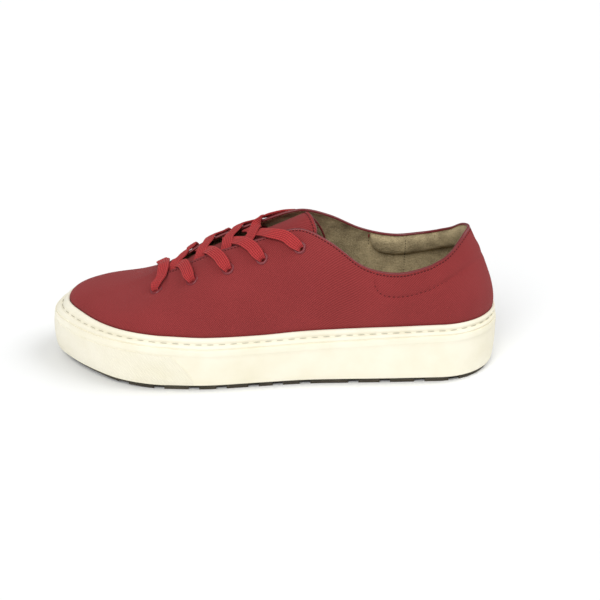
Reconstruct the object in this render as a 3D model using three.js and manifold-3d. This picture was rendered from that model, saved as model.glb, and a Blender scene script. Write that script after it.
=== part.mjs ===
// A low canvas sneaker for the left foot: cup sole, hollow canvas upper, tongue, insole, painted
// eyelets and flat laces. Millimetres, +Z up, toe towards -X, heel towards +X, lateral side towards
// -Y. Every curved piece is swept round the shoe over one ring of upright section planes: they fan
// out round the toe centre, run straight across the body, and fan out again round the heel centre.

import * as THREE from 'three';
import { ParametricGeometry } from 'three/addons/geometries/ParametricGeometry.js';
import { mergeVertices } from 'three/addons/utils/BufferGeometryUtils.js';
import Module from 'manifold-3d';

// ---- Driving dimensions --------------------------------------------------------------------

const TOE_CENTRE_X = -71; // the toe sections fan out round this point
const HEEL_CENTRE_X = 109; // and the heel sections round this one
const TOE_CENTRE_Y = 4; // the long axis bends towards the big toe
const AXIS_STRAIGHT_X = 40; // behind this the long axis lies on y = 0
const TOE_ARC = 1.13; // ring millimetres for a degree of turn in the toe fan
const HEEL_ARC = 0.7; // and in the heel fan

const GAP = 0.3; // clearance between pieces that touch
const UPPER_WALL = 2; // canvas, interlining and lining together
const TUCK = 1; // how far the hidden foot of the upper leans in
const OUTSOLE = 4; // tread sheet with its lugs
const LUG_DEPTH = 2.2;
const LUG_GROOVE = 7; // width of a groove between lugs
const GROOVE_LENGTH = 140; // more than the sole's width
const INSOLE = 4;
const STRIP_EDGE = 0.7; // thickness of the cup's thin top edge
const WALL_LEAN = 1.4; // the cup wall leans in to its bottom edge
const BULGE_SHARE = 0.65; // the wall is widest at this share of the rim's height
const RIM_INSET = 0.5; // the rim stands back from the widest line
const TOE_RIM_INSET = 0.25; // and further, by this share of the toe spring
const TREAD_INSET = 3.8; // the tread sheet stands back from the widest line
const TREAD_TUCK = 0.8; // and further, by this share of the toe spring
const SPRING_POWER = 2.5; // how suddenly the toe spring starts

const RING_COUNT = 68; // sections round the shoe
const UPPER_ROWS = 11; // rows of facets from the strip to the top line
const TONGUE_STEPS = { along: 16, across: 8 };
const FACE_STEP = { ring: 2, up: 0.04 }; // steps over which the upper's slope is taken

const EYELET = {
  hole: 3, punch: 10, bore: 2.2, barrel: 2.7, flange: 4.4,
  stand: 0.5, thick: 0.5, below: 2.6, bevel: 0.4, sides: 14,
};
const LACE = {
  width: 7.5, thick: 1.3, lift: 2.6, start: 0.72, startRise: 0.2, meetRise: 2.4, barSteps: 10, runSteps: 12,
};

// ---- Section tables ------------------------------------------------------------------------

// One row for each section from toe tip to heel back. turn: degrees from straight across. x: where
// the plane stands on the long axis. lat, med: widest half-width of the sole on each side. inset:
// from there to the foot of the upper. rim: height of the groove under the strip. foot: height of
// the strip's top edge. lift: toe spring of the edge. bed: height of the cup's floor at its edge.
// top, latZ, medZ: the top line's distance from the axis and its two heights. swell, rise: the way
// the upper leaves the strip. flare, drop: the way it arrives at the top line.
const SECTION_COLUMNS = ['turn', 'x', 'lat', 'med', 'inset', 'rim', 'foot', 'lift', 'bed',
  'top', 'latZ', 'medZ', 'swell', 'rise', 'flare', 'drop'];
const SECTION_ROWS = [
  [-90, TOE_CENTRE_X, 79.9, 79.9, 11.2, 33.2, 40.5, 3.0, 17.0, 6.0, 64.3, 64.3, -0.6, 10.5, 24.0, 18.5],
  [-72, TOE_CENTRE_X, 70.6, 80.4, 10.5, 33.1, 39.8, 3.2, 16.5, 6.2, 64.3, 64.3, -0.2, 10.5, 22.0, 18.0],
  [-54, TOE_CENTRE_X, 63.8, 73.4, 9.4, 33.4, 38.8, 3.0, 15.5, 6.6, 64.3, 64.3, 0.2, 10.5, 20.0, 16.0],
  [-34, TOE_CENTRE_X, 59.4, 59.6, 8.0, 33.6, 38.5, 1.6, 14.0, 7.0, 64.3, 64.3, 0.6, 10.5, 18.0, 12.0],
  [-16, TOE_CENTRE_X, 57.0, 51.2, 7.1, 32.9, 38.0, 0.7, 13.0, 7.4, 64.5, 64.5, 0.9, 12.0, 17.0, 6.5],
  [0, TOE_CENTRE_X, 56.2, 47.6, 6.6, 31.5, 37.3, 0.0, 12.5, 7.8, 65.2, 65.2, 1.0, 14.5, 16.0, 3.0],
  [0, -45, 56.0, 44.0, 5.9, 30.1, 36.8, 0.0, 12.5, 13.5, 79.4, 79.4, 1.2, 17.0, 16.5, 3.6],
  [0, -10, 50.3, 37.2, 5.5, 30.3, 36.8, 0.0, 13.0, 16.0, 92.6, 93.0, 1.5, 21.0, 16.0, 5.0],
  [0, 16, 46.0, 34.5, 5.5, 30.8, 38.0, 0.0, 14.0, 16.5, 100.4, 101.2, 2.0, 22.0, 14.5, 7.0],
  [0, 36, 44.0, 34.3, 5.5, 31.8, 38.8, 0.0, 15.0, 22.5, 93.6, 95.2, 2.4, 19.0, 11.0, 8.5],
  [0, 58, 43.2, 36.3, 5.5, 32.9, 39.6, 0.0, 16.0, 29.6, 79.2, 82.6, 2.5, 15.0, 6.0, 9.0],
  [0, 80, 42.5, 38.5, 5.5, 34.1, 40.1, 0.0, 17.0, 32.0, 75.2, 77.0, 2.2, 13.0, 3.8, 9.0],
  [0, 100, 41.5, 39.5, 5.3, 34.9, 40.7, 0.0, 17.0, 29.0, 78.8, 79.8, 2.3, 13.5, 5.0, 11.0],
  [0, HEEL_CENTRE_X, 41.1, 39.9, 5.1, 35.1, 41.0, 0.0, 17.0, 25.2, 82.2, 82.8, 2.4, 14.0, 6.0, 12.0],
  [30, HEEL_CENTRE_X, 40.3, 40.1, 4.4, 35.2, 41.3, 0.0, 17.0, 19.4, 88.5, 88.5, 2.4, 15.0, 8.5, 15.0],
  [60, HEEL_CENTRE_X, 39.9, 39.9, 3.5, 34.8, 41.1, 0.0, 17.0, 18.4, 94.0, 94.0, 2.0, 15.5, 9.0, 18.0],
  [90, HEEL_CENTRE_X, 40.0, 40.0, 2.4, 34.2, 40.7, 0.0, 17.0, 19.6, 96.0, 96.0, 1.7, 15.4, 9.4, 21.0],
];

// Tongue sections along the shoe: height of its face on the axis, half-width, how far its edges
// hang below the middle, and how much lower the medial edge droops.
const TONGUE_COLUMNS = ['x', 'z', 'half', 'hang', 'droop'];
const TONGUE_ROWS = [
  [-90, 54.2, 19, 4.0, 0],
  [-71, 61.3, 21, 5.5, 0],
  [-45, 76.2, 24, 7.0, 0],
  [-10, 89.4, 23, 8.0, 0],
  [14, 101.2, 21, 11.0, 3],
  [25, 106.6, 19, 14.0, 12],
];
const TONGUE_THICK = 2.5;

// Eyelet pairs from the toe up: place along the ring, and share of the way up the section.
const EYELET_PLACES = [
  { ring: 80.2, up: 0.72 },
  { ring: 118.5, up: 0.7 },
  { ring: 142.2, up: 0.71 },
  { ring: 164.2, up: 0.73 },
  { ring: 188.8, up: 0.76 },
];

// Lace crossings from the toe up, by their places along the shoe: where a run comes out from under
// one edge of the throat, where it meets its partner, and where it passes over the other edge.
const LACE_RUNS = [
  { leave: -69, meet: -65, land: -60 },
  { leave: -50, meet: -45, land: -38 },
  { leave: -31, meet: -26, land: -18 },
  { leave: -14, meet: -11, land: -3 },
];

// Lug grooves that cross the tread, by their place along the shoe.
const GROOVE_PLACES = [-100, -76, -53, -35, -14, 2, 20, 52, 73, 96, 119];

// ---- Materials -----------------------------------------------------------------------------

const finish = (name, color, roughness) => new THREE.MeshStandardMaterial({ name, color, roughness });
const MATERIALS = {
  canvas: finish('red canvas', 0x9a3c3f, 0.9),
  cup: finish('cream rubber', 0xf3ecd6, 0.6),
  tread: finish('brown rubber', 0x5f574a, 0.8),
  lining: finish('olive lining', 0x8d8063, 0.95),
  paint: finish('painted eyelet', 0xa8484c, 0.35),
  lace: finish('lace braid', 0xb84546, 0.85),
};

// ---- Ring of sections ----------------------------------------------------------------------

const rowsOf = (columns, rows) => rows.map((row) => (
  Object.fromEntries(columns.map((column, index) => [column, row[index]]))));

/** Smooth value at `at` through rising places, with the slope of the neighbours at each one. */
function smooth(places, values, at) {
  const last = places.length - 2;
  let index = 0;
  while (index < last && places[index + 1] <= at) index += 1;
  const before = Math.max(index - 1, 0);
  const after = Math.min(index + 2, last + 1);
  const span = places[index + 1] - places[index];
  const startSlope = (values[index + 1] - values[before]) / (places[index + 1] - places[before]);
  const endSlope = (values[after] - values[index]) / (places[after] - places[index]);
  const t = (at - places[index]) / span;
  const ease = t * t * (3 - 2 * t);
  const startPull = t * (1 - t) * (1 - t) * span * startSlope;
  const endPull = t * t * (1 - t) * span * endSlope;
  return values[index] * (1 - ease) + values[index + 1] * ease + startPull - endPull;
}

const TOE_RING = 90 * TOE_ARC;
const BODY_RING = TOE_RING + HEEL_CENTRE_X - TOE_CENTRE_X;
const HALF_RING = BODY_RING + 90 * HEEL_ARC;
const FULL_RING = 2 * HALF_RING;

/** Place of a table row on the ring, from 0 at the toe tip to HALF_RING at the heel back. */
function ringPlace({ turn, x }) {
  if (turn < 0) return (turn + 90) * TOE_ARC;
  return TOE_RING + x - TOE_CENTRE_X + turn * HEEL_ARC;
}

/** The table as a closed loop: lateral side from toe to heel, then medial side back to the toe. */
function sectionLoop() {
  const lateral = rowsOf(SECTION_COLUMNS, SECTION_ROWS).map((row) => (
    { ...row, place: ringPlace(row), edge: row.lat, topZ: row.latZ }));
  const medial = lateral.slice(1, -1).reverse().map((row) => (
    { ...row, place: FULL_RING - row.place, edge: row.med, topZ: row.medZ }));
  const loop = [...lateral, ...medial];
  const shifted = (row, turns) => ({ ...row, place: row.place + turns * FULL_RING });
  return [...loop.slice(-2).map((row) => shifted(row, -1)), ...loop,
    ...loop.slice(0, 3).map((row) => shifted(row, 1))];
}

const LOOP = sectionLoop();
const LOOP_PLACES = LOOP.map((row) => row.place);
const SMOOTH_COLUMNS = ['edge', 'inset', 'rim', 'foot', 'lift', 'bed', 'top', 'topZ',
  'swell', 'rise', 'flare', 'drop'];
const LOOP_VALUES = Object.fromEntries(SMOOTH_COLUMNS.map((name) => [name, LOOP.map((row) => row[name])]));

/** Long axis of the shoe: how far it lies from y = 0. */
function axisY(x) {
  const share = (AXIS_STRAIGHT_X - x) / (AXIS_STRAIGHT_X - TOE_CENTRE_X);
  return TOE_CENTRE_Y * THREE.MathUtils.clamp(share, 0, 1);
}

/** Where the section plane stands at a place on the ring, and which way it looks outwards. */
function planeAt(ring) {
  const medial = ring > HALF_RING;
  const along = medial ? FULL_RING - ring : ring;
  const x = THREE.MathUtils.clamp(TOE_CENTRE_X + along - TOE_RING, TOE_CENTRE_X, HEEL_CENTRE_X);
  let turn = 0;
  if (along < TOE_RING) turn = along / TOE_ARC - 90;
  if (along > BODY_RING) turn = (along - BODY_RING) / HEEL_ARC;
  const angle = THREE.MathUtils.degToRad(turn);
  const across = medial ? Math.cos(angle) : -Math.cos(angle);
  return { x, y: axisY(x), outX: Math.sin(angle), outY: across, body: turn === 0 };
}

/** All the sizes of the section at a place on the ring. */
function sectionAt(ring) {
  const wrapped = ((ring % FULL_RING) + FULL_RING) % FULL_RING;
  const section = planeAt(wrapped);
  for (const name of SMOOTH_COLUMNS) section[name] = smooth(LOOP_PLACES, LOOP_VALUES[name], wrapped);
  section.lift = Math.max(section.lift, 0);
  section.footR = section.edge - section.inset;
  section.base = section.edge - WALL_LEAN;
  section.axisBed = section.bed;
  if (!section.body) {
    const centre = section.x === TOE_CENTRE_X ? TOE_RING : BODY_RING;
    section.axisBed = smooth(LOOP_PLACES, LOOP_VALUES.bed, centre);
  }
  return section;
}

const toSpace = (section, [r, z]) => (
  new THREE.Vector3(section.x + section.outX * r, section.y + section.outY * r, z));

/** Underside of the sole at a distance from the axis: flat, with the toe spring at its edge. */
const undersideZ = (section, r) => section.lift * (r / section.edge) ** SPRING_POWER;

/** Floor of the cup at a distance from the axis. */
const bedZ = (section, r) => (
  section.axisBed + (section.bed - section.axisBed) * (r / section.edge) ** 2);

/** Outer face of the upper: up = 0 on the strip, 1 on the top line. */
function upperPoint(section, up) {
  const curve = new THREE.CubicBezierCurve(
    new THREE.Vector2(section.footR, section.foot),
    new THREE.Vector2(section.footR + section.swell, section.foot + section.rise),
    new THREE.Vector2(section.top + section.flare, section.topZ - section.drop),
    new THREE.Vector2(section.top, section.topZ),
  );
  const point = curve.getPoint(up);
  return [point.x, point.y];
}

/** Points moved inwards, square to the line that they make. */
function insetLine(points, distance) {
  return points.map((point, index) => {
    const before = points[Math.max(index - 1, 0)];
    const after = points[Math.min(index + 1, points.length - 1)];
    const alongR = after[0] - before[0];
    const alongZ = after[1] - before[1];
    const length = Math.hypot(alongR, alongZ);
    return [point[0] - (alongZ / length) * distance, point[1] + (alongR / length) * distance];
  });
}

// ---- Solids --------------------------------------------------------------------------------

/** A closed geometry with shared vertices, no collapsed triangles, and faces pointing out. */
function closedGeometry(geometry) {
  for (const name of ['normal', 'uv']) geometry.deleteAttribute(name);
  const merged = mergeVertices(geometry, 1e-4);
  const source = merged.index.array;
  const position = merged.attributes.position;
  const kept = [];
  let volume = 0;
  const [a, b, c] = [new THREE.Vector3(), new THREE.Vector3(), new THREE.Vector3()];
  for (let index = 0; index < source.length; index += 3) {
    const corners = [source[index], source[index + 1], source[index + 2]];
    if (new Set(corners).size < 3) continue;
    [a, b, c].forEach((vector, corner) => vector.fromBufferAttribute(position, corners[corner]));
    volume += a.dot(b.cross(c));
    kept.push(...corners);
  }
  if (volume < 0) kept.reverse();
  merged.setIndex(kept);
  merged.computeVertexNormals();
  return merged;
}

/** Sweeps a line of points, given for each step, into a closed solid. */
function sweep(lines, closedRound) {
  const around = closedRound ? lines.length : lines.length - 1;
  const along = lines[0].length - 1;
  const shape = (u, v, target) => {
    const line = lines[Math.round(u * around) % lines.length];
    target.copy(line[Math.round(v * along)]);
  };
  return closedGeometry(new ParametricGeometry(shape, around, along));
}

/** Sweeps flat loops, each a face line and its back line reversed, and closes both ends. */
function sweepBand(lines) {
  const middleLine = (line) => {
    const last = line.length - 2;
    return line.map((_, index) => (
      new THREE.Vector3().addVectors(line[index % (last + 1)], line[last - (index % (last + 1))])
        .multiplyScalar(0.5)));
  };
  return sweep([middleLine(lines[0]), ...lines, middleLine(lines[lines.length - 1])], false);
}

const RING = Array.from({ length: RING_COUNT }, (_, index) => sectionAt((FULL_RING * index) / RING_COUNT));
const ringSweep = (outline) => (
  sweep(RING.map((section) => outline(section).map((point) => toSpace(section, point))), true));

const wasm = await Module();
wasm.setup();

/** A three.js geometry, placed by a matrix, as a manifold solid. */
function toManifold(geometry, matrix = new THREE.Matrix4()) {
  const closed = closedGeometry(geometry.clone().applyMatrix4(matrix));
  const vertProperties = new Float32Array(closed.attributes.position.array);
  const triVerts = new Uint32Array(closed.index.array);
  return new wasm.Manifold(new wasm.Mesh({ numProp: 3, vertProperties, triVerts }));
}

/** A manifold solid as a three.js geometry. */
function toGeometry(solid) {
  const mesh = solid.getMesh();
  const geometry = new THREE.BufferGeometry();
  geometry.setAttribute('position', new THREE.BufferAttribute(new Float32Array(mesh.vertProperties), 3));
  geometry.setIndex(new THREE.BufferAttribute(new Uint32Array(mesh.triVerts), 1));
  geometry.computeVertexNormals();
  return geometry;
}

const shares = (count) => Array.from({ length: count + 1 }, (_, index) => index / count);

// ---- Sole, insole and upper ----------------------------------------------------------------

/** Tread sheet: flat under heel and ball, with the toe spring, cut by cross grooves. */
function outsoleGeometry() {
  const sheet = ringSweep((section) => {
    const radius = section.edge - TREAD_INSET - TREAD_TUCK * section.lift;
    const across = shares(3).map((share) => radius * share);
    const bottom = across.map((r) => [r, undersideZ(section, r)]);
    const top = across.map((r) => [r, undersideZ(section, r) + OUTSOLE - GAP]);
    return [...bottom, ...top.reverse()];
  });
  let grooves = null;
  for (const x of GROOVE_PLACES) {
    const place = new THREE.Matrix4().makeTranslation(x, 0, 0);
    const groove = toManifold(new THREE.BoxGeometry(LUG_GROOVE, GROOVE_LENGTH, 2 * LUG_DEPTH), place);
    grooves = grooves ? grooves.add(groove) : groove;
  }
  return toGeometry(toManifold(sheet).subtract(grooves));
}

/** Cup: floor, leaning wall and the sloped strip that holds the foot of the upper. */
function midsoleGeometry() {
  return ringSweep((section) => {
    const bottom = [0, 0.35, 0.7, 0.9, 1].map((share) => section.base * share);
    const inner = section.footR + GAP;
    const floor = [1, 0.7, 0.35, 0].map((share) => (inner - TUCK) * share);
    return [
      ...bottom.map((r) => [r, undersideZ(section, r) + OUTSOLE]),
      [section.edge, section.rim * BULGE_SHARE],
      [section.edge - RIM_INSET - TOE_RIM_INSET * section.lift, section.rim],
      [inner + STRIP_EDGE, section.foot],
      [inner, section.foot],
      ...floor.map((r) => [r, bedZ(section, r)]),
    ];
  });
}

/** Board and sock that lie on the cup's floor, inside the foot of the upper. */
function insoleGeometry() {
  return ringSweep((section) => {
    const radius = section.footR - TUCK - UPPER_WALL - 2 * GAP;
    const bottom = [0, 0.5, 1].map((share) => [radius * share, bedZ(section, radius * share) + GAP]);
    const top = bottom.map(([r, z]) => [r, z + INSOLE]);
    return [...bottom, ...top.reverse()];
  });
}

const squareUp = new THREE.Vector3(0, 1, 0);

/** Place and outward normal of a spot on the upper's face. */
function facePlace({ ring, up }, medial) {
  const at = medial ? FULL_RING - ring : ring;
  const ahead = at + FACE_STEP.ring;
  const below = up - FACE_STEP.up;
  const point = toSpace(sectionAt(at), upperPoint(sectionAt(at), up));
  const along = toSpace(sectionAt(ahead), upperPoint(sectionAt(ahead), up)).sub(point);
  const climb = toSpace(sectionAt(at), upperPoint(sectionAt(at), below)).sub(point).negate();
  const normal = climb.cross(along).normalize();
  if (normal.z < 0) normal.negate();
  const turn = new THREE.Quaternion().setFromUnitVectors(squareUp, normal);
  return { point, normal, turn };
}

/** Canvas shell: one wall from its hidden foot in the cup to the throat and collar. */
function upperGeometry() {
  const shell = ringSweep((section) => {
    const hidden = section.footR - TUCK;
    const outer = [[hidden, bedZ(section, hidden) + GAP]];
    outer.push(...shares(UPPER_ROWS).map((up) => upperPoint(section, up)));
    const inner = insetLine(outer, UPPER_WALL).reverse();
    return [...outer, ...inner, outer[0]];
  });
  let solid = toManifold(shell);
  const punch = new THREE.CylinderGeometry(EYELET.hole, EYELET.hole, EYELET.punch, EYELET.sides);
  for (const place of EYELET_PLACES) {
    for (const medial of [false, true]) {
      const { point, turn } = facePlace(place, medial);
      const matrix = new THREE.Matrix4().compose(point, turn, new THREE.Vector3(1, 1, 1));
      solid = solid.subtract(toManifold(punch, matrix));
    }
  }
  return toGeometry(solid);
}

// ---- Tongue, eyelets and laces -------------------------------------------------------------

const TONGUE = rowsOf(TONGUE_COLUMNS, TONGUE_ROWS);
const tongueValue = (name, x) => smooth(TONGUE.map((row) => row.x), TONGUE.map((row) => row[name]), x);

/** Height of the tongue's face at a place in plan. */
function tongueZ(x, y) {
  const share = (y - axisY(x)) / tongueValue('half', x);
  const droop = tongueValue('droop', x) * Math.max(share, 0) ** 4;
  return tongueValue('z', x) - tongueValue('hang', x) * share * share - droop;
}

/** Bowed tongue from under the vamp to just above the throat. */
function tongueGeometry() {
  const first = TONGUE_ROWS[0][0];
  const last = TONGUE_ROWS[TONGUE_ROWS.length - 1][0];
  const lines = shares(TONGUE_STEPS.along).map((share) => {
    const x = THREE.MathUtils.lerp(first, last, share);
    const half = tongueValue('half', x);
    const face = shares(TONGUE_STEPS.across).map((across) => {
      const y = axisY(x) + half * (2 * across - 1);
      return new THREE.Vector3(x, y, tongueZ(x, y));
    });
    const back = face.map((point) => point.clone().setZ(point.z - TONGUE_THICK)).reverse();
    return [...face, ...back, face[0]];
  });
  return sweepBand(lines);
}

/** Painted ring: a barrel through the wall and a flange on the outside. */
function eyeletGeometry() {
  const { bore, barrel, flange, stand, thick, below, bevel, sides } = EYELET;
  const outline = [[bore, -below], [barrel, -below], [barrel, stand], [flange, stand],
    [flange - bevel, stand + thick], [bore + bevel, stand + thick], [bore, -below]];
  return closedGeometry(new THREE.LatheGeometry(outline.map(([r, h]) => new THREE.Vector2(r, h)), sides));
}

/** Flat lace along a curve; its face looks along the blend of the given normals. */
function laceGeometry(points, normals, steps) {
  const route = new THREE.CatmullRomCurve3(points);
  const facing = new THREE.CatmullRomCurve3(normals);
  const lines = shares(steps).map((share) => {
    const centre = route.getPointAt(share);
    const across = route.getTangentAt(share).cross(facing.getPoint(share).normalize()).normalize();
    const up = across.clone().cross(route.getTangentAt(share)).normalize();
    const corner = (side, height) => centre.clone()
      .addScaledVector(across, (side * LACE.width) / 2)
      .addScaledVector(up, (height * LACE.thick) / 2);
    return [corner(-1, -1), corner(1, -1), corner(1, 1), corner(-1, 1), corner(-1, -1)];
  });
  return sweepBand(lines);
}

/** Point near the throat's edge: across = 1 on the edge of the side, -1 on the far edge. */
function throatPoint(x, side, across, rise) {
  const section = sectionAt(TOE_RING + Math.max(x - TOE_CENTRE_X, 0));
  return new THREE.Vector3(x, axisY(x) + side * across * section.top, section.topZ + rise);
}

const UP = new THREE.Vector3(0, 0, 1);

/** Bar between the first pair of eyelets, across the front of the throat. */
function laceBarGeometry() {
  const ends = [facePlace(EYELET_PLACES[0], false), facePlace(EYELET_PLACES[0], true)];
  const [start, end] = ends.map(({ point, normal }) => point.clone().addScaledVector(normal, LACE.lift));
  const middle = new THREE.Vector3().addVectors(start, end).multiplyScalar(0.5);
  middle.z = throatPoint(middle.x, 1, 0, LACE.lift).z;
  return laceGeometry([start, middle, end], [ends[0].normal, UP, ends[1].normal], LACE.barSteps);
}

/** One run of a crossing, from inside the throat's far edge over to its eyelet. */
function laceRun(index, medial) {
  const side = medial ? 1 : -1;
  const { leave, meet, land } = LACE_RUNS[index];
  const eyelet = EYELET_PLACES[index + 1];
  const landRing = TOE_RING + Math.max(land - TOE_CENTRE_X, 0);
  const outside = [
    facePlace({ ring: landRing, up: 1 }, medial),
    facePlace({ ring: (landRing + eyelet.ring) / 2, up: (1 + eyelet.up) / 2 }, medial),
    facePlace(eyelet, medial),
  ];
  const points = [
    throatPoint(leave, -side, LACE.start, LACE.startRise),
    throatPoint(meet, side, 0, LACE.meetRise),
    ...outside.map(({ point, normal }) => point.clone().addScaledVector(normal, LACE.lift)),
  ];
  return laceGeometry(points, [UP, UP, ...outside.map(({ normal }) => normal)], LACE.runSteps);
}

/** Two mirrored runs, joined where they cross. */
function laceCrossGeometry(index) {
  return toGeometry(toManifold(laceRun(index, false)).add(toManifold(laceRun(index, true))));
}

// ---- Assembly ------------------------------------------------------------------------------

const group = new THREE.Group();

function addPart(name, geometry, material) {
  const mesh = new THREE.Mesh(geometry, material.clone());
  mesh.name = name;
  group.add(mesh);
  return mesh;
}

addPart('outsole', outsoleGeometry(), MATERIALS.tread);
addPart('midsole', midsoleGeometry(), MATERIALS.cup);
addPart('insole', insoleGeometry(), MATERIALS.lining);
addPart('upper', upperGeometry(), MATERIALS.canvas);
addPart('tongue', tongueGeometry(), MATERIALS.canvas);

const eyeletShape = eyeletGeometry();
for (const medial of [false, true]) {
  EYELET_PLACES.forEach((place, index) => {
    const { point, turn } = facePlace(place, medial);
    const name = `eyelet_${medial ? 'medial' : 'lateral'}_${index + 1}`;
    const eyelet = addPart(name, eyeletShape.clone(), MATERIALS.paint);
    eyelet.position.copy(point);
    eyelet.quaternion.copy(turn);
  });
}

addPart('lace_bar', laceBarGeometry(), MATERIALS.lace);
for (let index = 0; index < EYELET_PLACES.length - 1; index += 1) {
  addPart(`lace_cross_${index + 1}`, laceCrossGeometry(index), MATERIALS.lace);
}

// The origin is the middle of the sole's outline, on the ground.
const box = new THREE.Box3().setFromObject(group);
const centre = box.getCenter(new THREE.Vector3());
group.position.set(-centre.x, -centre.y, -box.min.z);

export default group;
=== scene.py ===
"""Low canvas sneaker for the left foot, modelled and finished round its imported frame.

The shoe is swept over one ring of upright sections, as its solids are: the sections fan out round
the toe centre, run straight across the body and fan out again round the heel centre. The ring
starts at the toe tip, runs back along the lateral side to the heel and forward along the medial
side. Sizes are in millimetres, turned to metres where a point is placed.
"""

from __future__ import annotations

import logging
import math
from dataclasses import dataclass, field
from enum import Enum
from functools import cached_property
from typing import Callable, Mapping, Sequence, TypeVar

import bmesh
import bpy
from mathutils import Matrix, Vector, noise

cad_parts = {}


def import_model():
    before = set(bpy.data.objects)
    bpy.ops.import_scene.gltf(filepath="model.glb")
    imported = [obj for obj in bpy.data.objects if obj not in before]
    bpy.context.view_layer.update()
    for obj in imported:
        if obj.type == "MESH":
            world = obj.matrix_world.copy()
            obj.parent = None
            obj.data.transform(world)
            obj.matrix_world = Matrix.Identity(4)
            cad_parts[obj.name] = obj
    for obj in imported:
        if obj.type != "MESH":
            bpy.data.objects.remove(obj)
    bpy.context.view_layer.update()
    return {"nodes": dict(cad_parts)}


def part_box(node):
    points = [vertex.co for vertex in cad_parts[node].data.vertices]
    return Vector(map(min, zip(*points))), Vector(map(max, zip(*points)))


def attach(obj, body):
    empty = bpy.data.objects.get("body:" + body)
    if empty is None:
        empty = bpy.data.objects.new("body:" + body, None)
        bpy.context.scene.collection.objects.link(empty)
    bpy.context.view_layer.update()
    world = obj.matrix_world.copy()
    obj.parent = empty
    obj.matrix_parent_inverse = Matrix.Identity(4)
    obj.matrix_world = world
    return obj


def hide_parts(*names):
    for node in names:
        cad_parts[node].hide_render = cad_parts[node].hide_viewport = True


LOG = logging.getLogger("sneaker")
MM = 0.001
WEAVE = "weave"  # name of each piece's own UV map, in millimetres of cloth or cord
MERGE = 1e-6  # vertices closer than this are one, in metres
BODY = "root"

Flat = tuple[float, float]  # distance from the long axis and height, in a section's plane
Size = tuple[float, float, float]  # half length, half width and half height of a stitch
Place = Callable[[int, int], Vector]
Weave = Callable[[int, int], Flat]
Value = TypeVar("Value", float, Vector)


# ---- Finishes ------------------------------------------------------------------------------


def linear(colour: str) -> tuple[float, float, float, float]:
    """Turns an sRGB hex colour to linear.

    Args:
        colour: six hex digits after a hash sign.

    Returns:
        Red, green, blue and alpha as Blender's sockets take them.
    """
    parts = [int(colour[at : at + 2], 16) / 255 for at in (1, 3, 5)]
    red, green, blue = (
        part / 12.92 if part <= 0.04045 else ((part + 0.055) / 1.055) ** 2.4 for part in parts
    )
    return red, green, blue, 1.0


def add_node(
    tree: bpy.types.NodeTree, kind: str, inputs: Mapping[str | int, object], **settings: object
) -> bpy.types.Node:
    """Adds a node with its settings, values and links.

    Args:
        tree: the material's node tree.
        kind: the node's type.
        inputs: for each input, by name or number, a value or the socket that feeds it.
        settings: the node's own properties.

    Returns:
        The new node.
    """
    node = tree.nodes.new(kind)
    for name, value in settings.items():
        setattr(node, name, value)
    for key, value in inputs.items():
        if isinstance(value, bpy.types.NodeSocket):
            tree.links.new(value, node.inputs[key])
        else:
            node.inputs[key].default_value = value
    return node


def wave_scale(pitch: float) -> float:
    """Scale that gives a wave texture bands at a pitch, because a band is a turn of 20 x."""
    return math.tau / 20 / pitch


@dataclass(frozen=True)
class Finish:
    """A surface finish: its material's constants, and a pattern that a subclass adds."""

    name: str
    slot: str
    colour: str
    shade: str
    roughness: float
    specular: float = 0.5
    sheen: float = 0.0
    sheen_colour: str = "#ffffff"
    coat: float = 0.0

    def material(self) -> bpy.types.Material:
        """Returns the finish as a material, made once and then shared."""
        known = bpy.data.materials.get(self.name)
        if known:
            return known
        material = bpy.data.materials.new(self.name)
        material.use_nodes = True
        tree = material.node_tree
        shader = tree.nodes["Principled BSDF"]
        constants = {
            "Base Color": linear(self.colour),
            "Roughness": self.roughness,
            "Specular IOR Level": self.specular,
            "Sheen Weight": self.sheen,
            "Sheen Roughness": 0.5,
            "Sheen Tint": linear(self.sheen_colour),
            "Coat Weight": self.coat,
            "Coat Roughness": 0.12,
        }
        for socket, value in constants.items():
            shader.inputs[socket].default_value = value
        material.diffuse_color = linear(self.colour)
        self.pattern(tree, shader)
        return material

    def pattern(self, tree: bpy.types.NodeTree, shader: bpy.types.Node) -> None:
        """Adds the pattern's nodes; the plain finish has none."""

    def blend(
        self, tree: bpy.types.NodeTree, shader: bpy.types.Node, share: bpy.types.NodeSocket
    ) -> bpy.types.Node:
        """Blends the shade into the colour.

        Args:
            tree: the material's node tree.
            shader: the shader whose base colour is fed.
            share: 0 for the shade, 1 for the colour.

        Returns:
            The mix node.
        """
        inputs = {0: share, 6: linear(self.shade), 7: linear(self.colour)}
        mix = add_node(tree, "ShaderNodeMix", inputs, data_type="RGBA")
        tree.links.new(mix.outputs[2], shader.inputs["Base Color"])
        return mix

    def bump(
        self,
        tree: bpy.types.NodeTree,
        shader: bpy.types.Node,
        height: bpy.types.NodeSocket,
        depth: float,
    ) -> None:
        """Feeds a height pattern of a real depth in millimetres to the shader's normal."""
        inputs = {"Height": height, "Distance": depth * MM, "Strength": 1.0}
        node = add_node(tree, "ShaderNodeBump", inputs)
        tree.links.new(node.outputs["Normal"], shader.inputs["Normal"])


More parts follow.
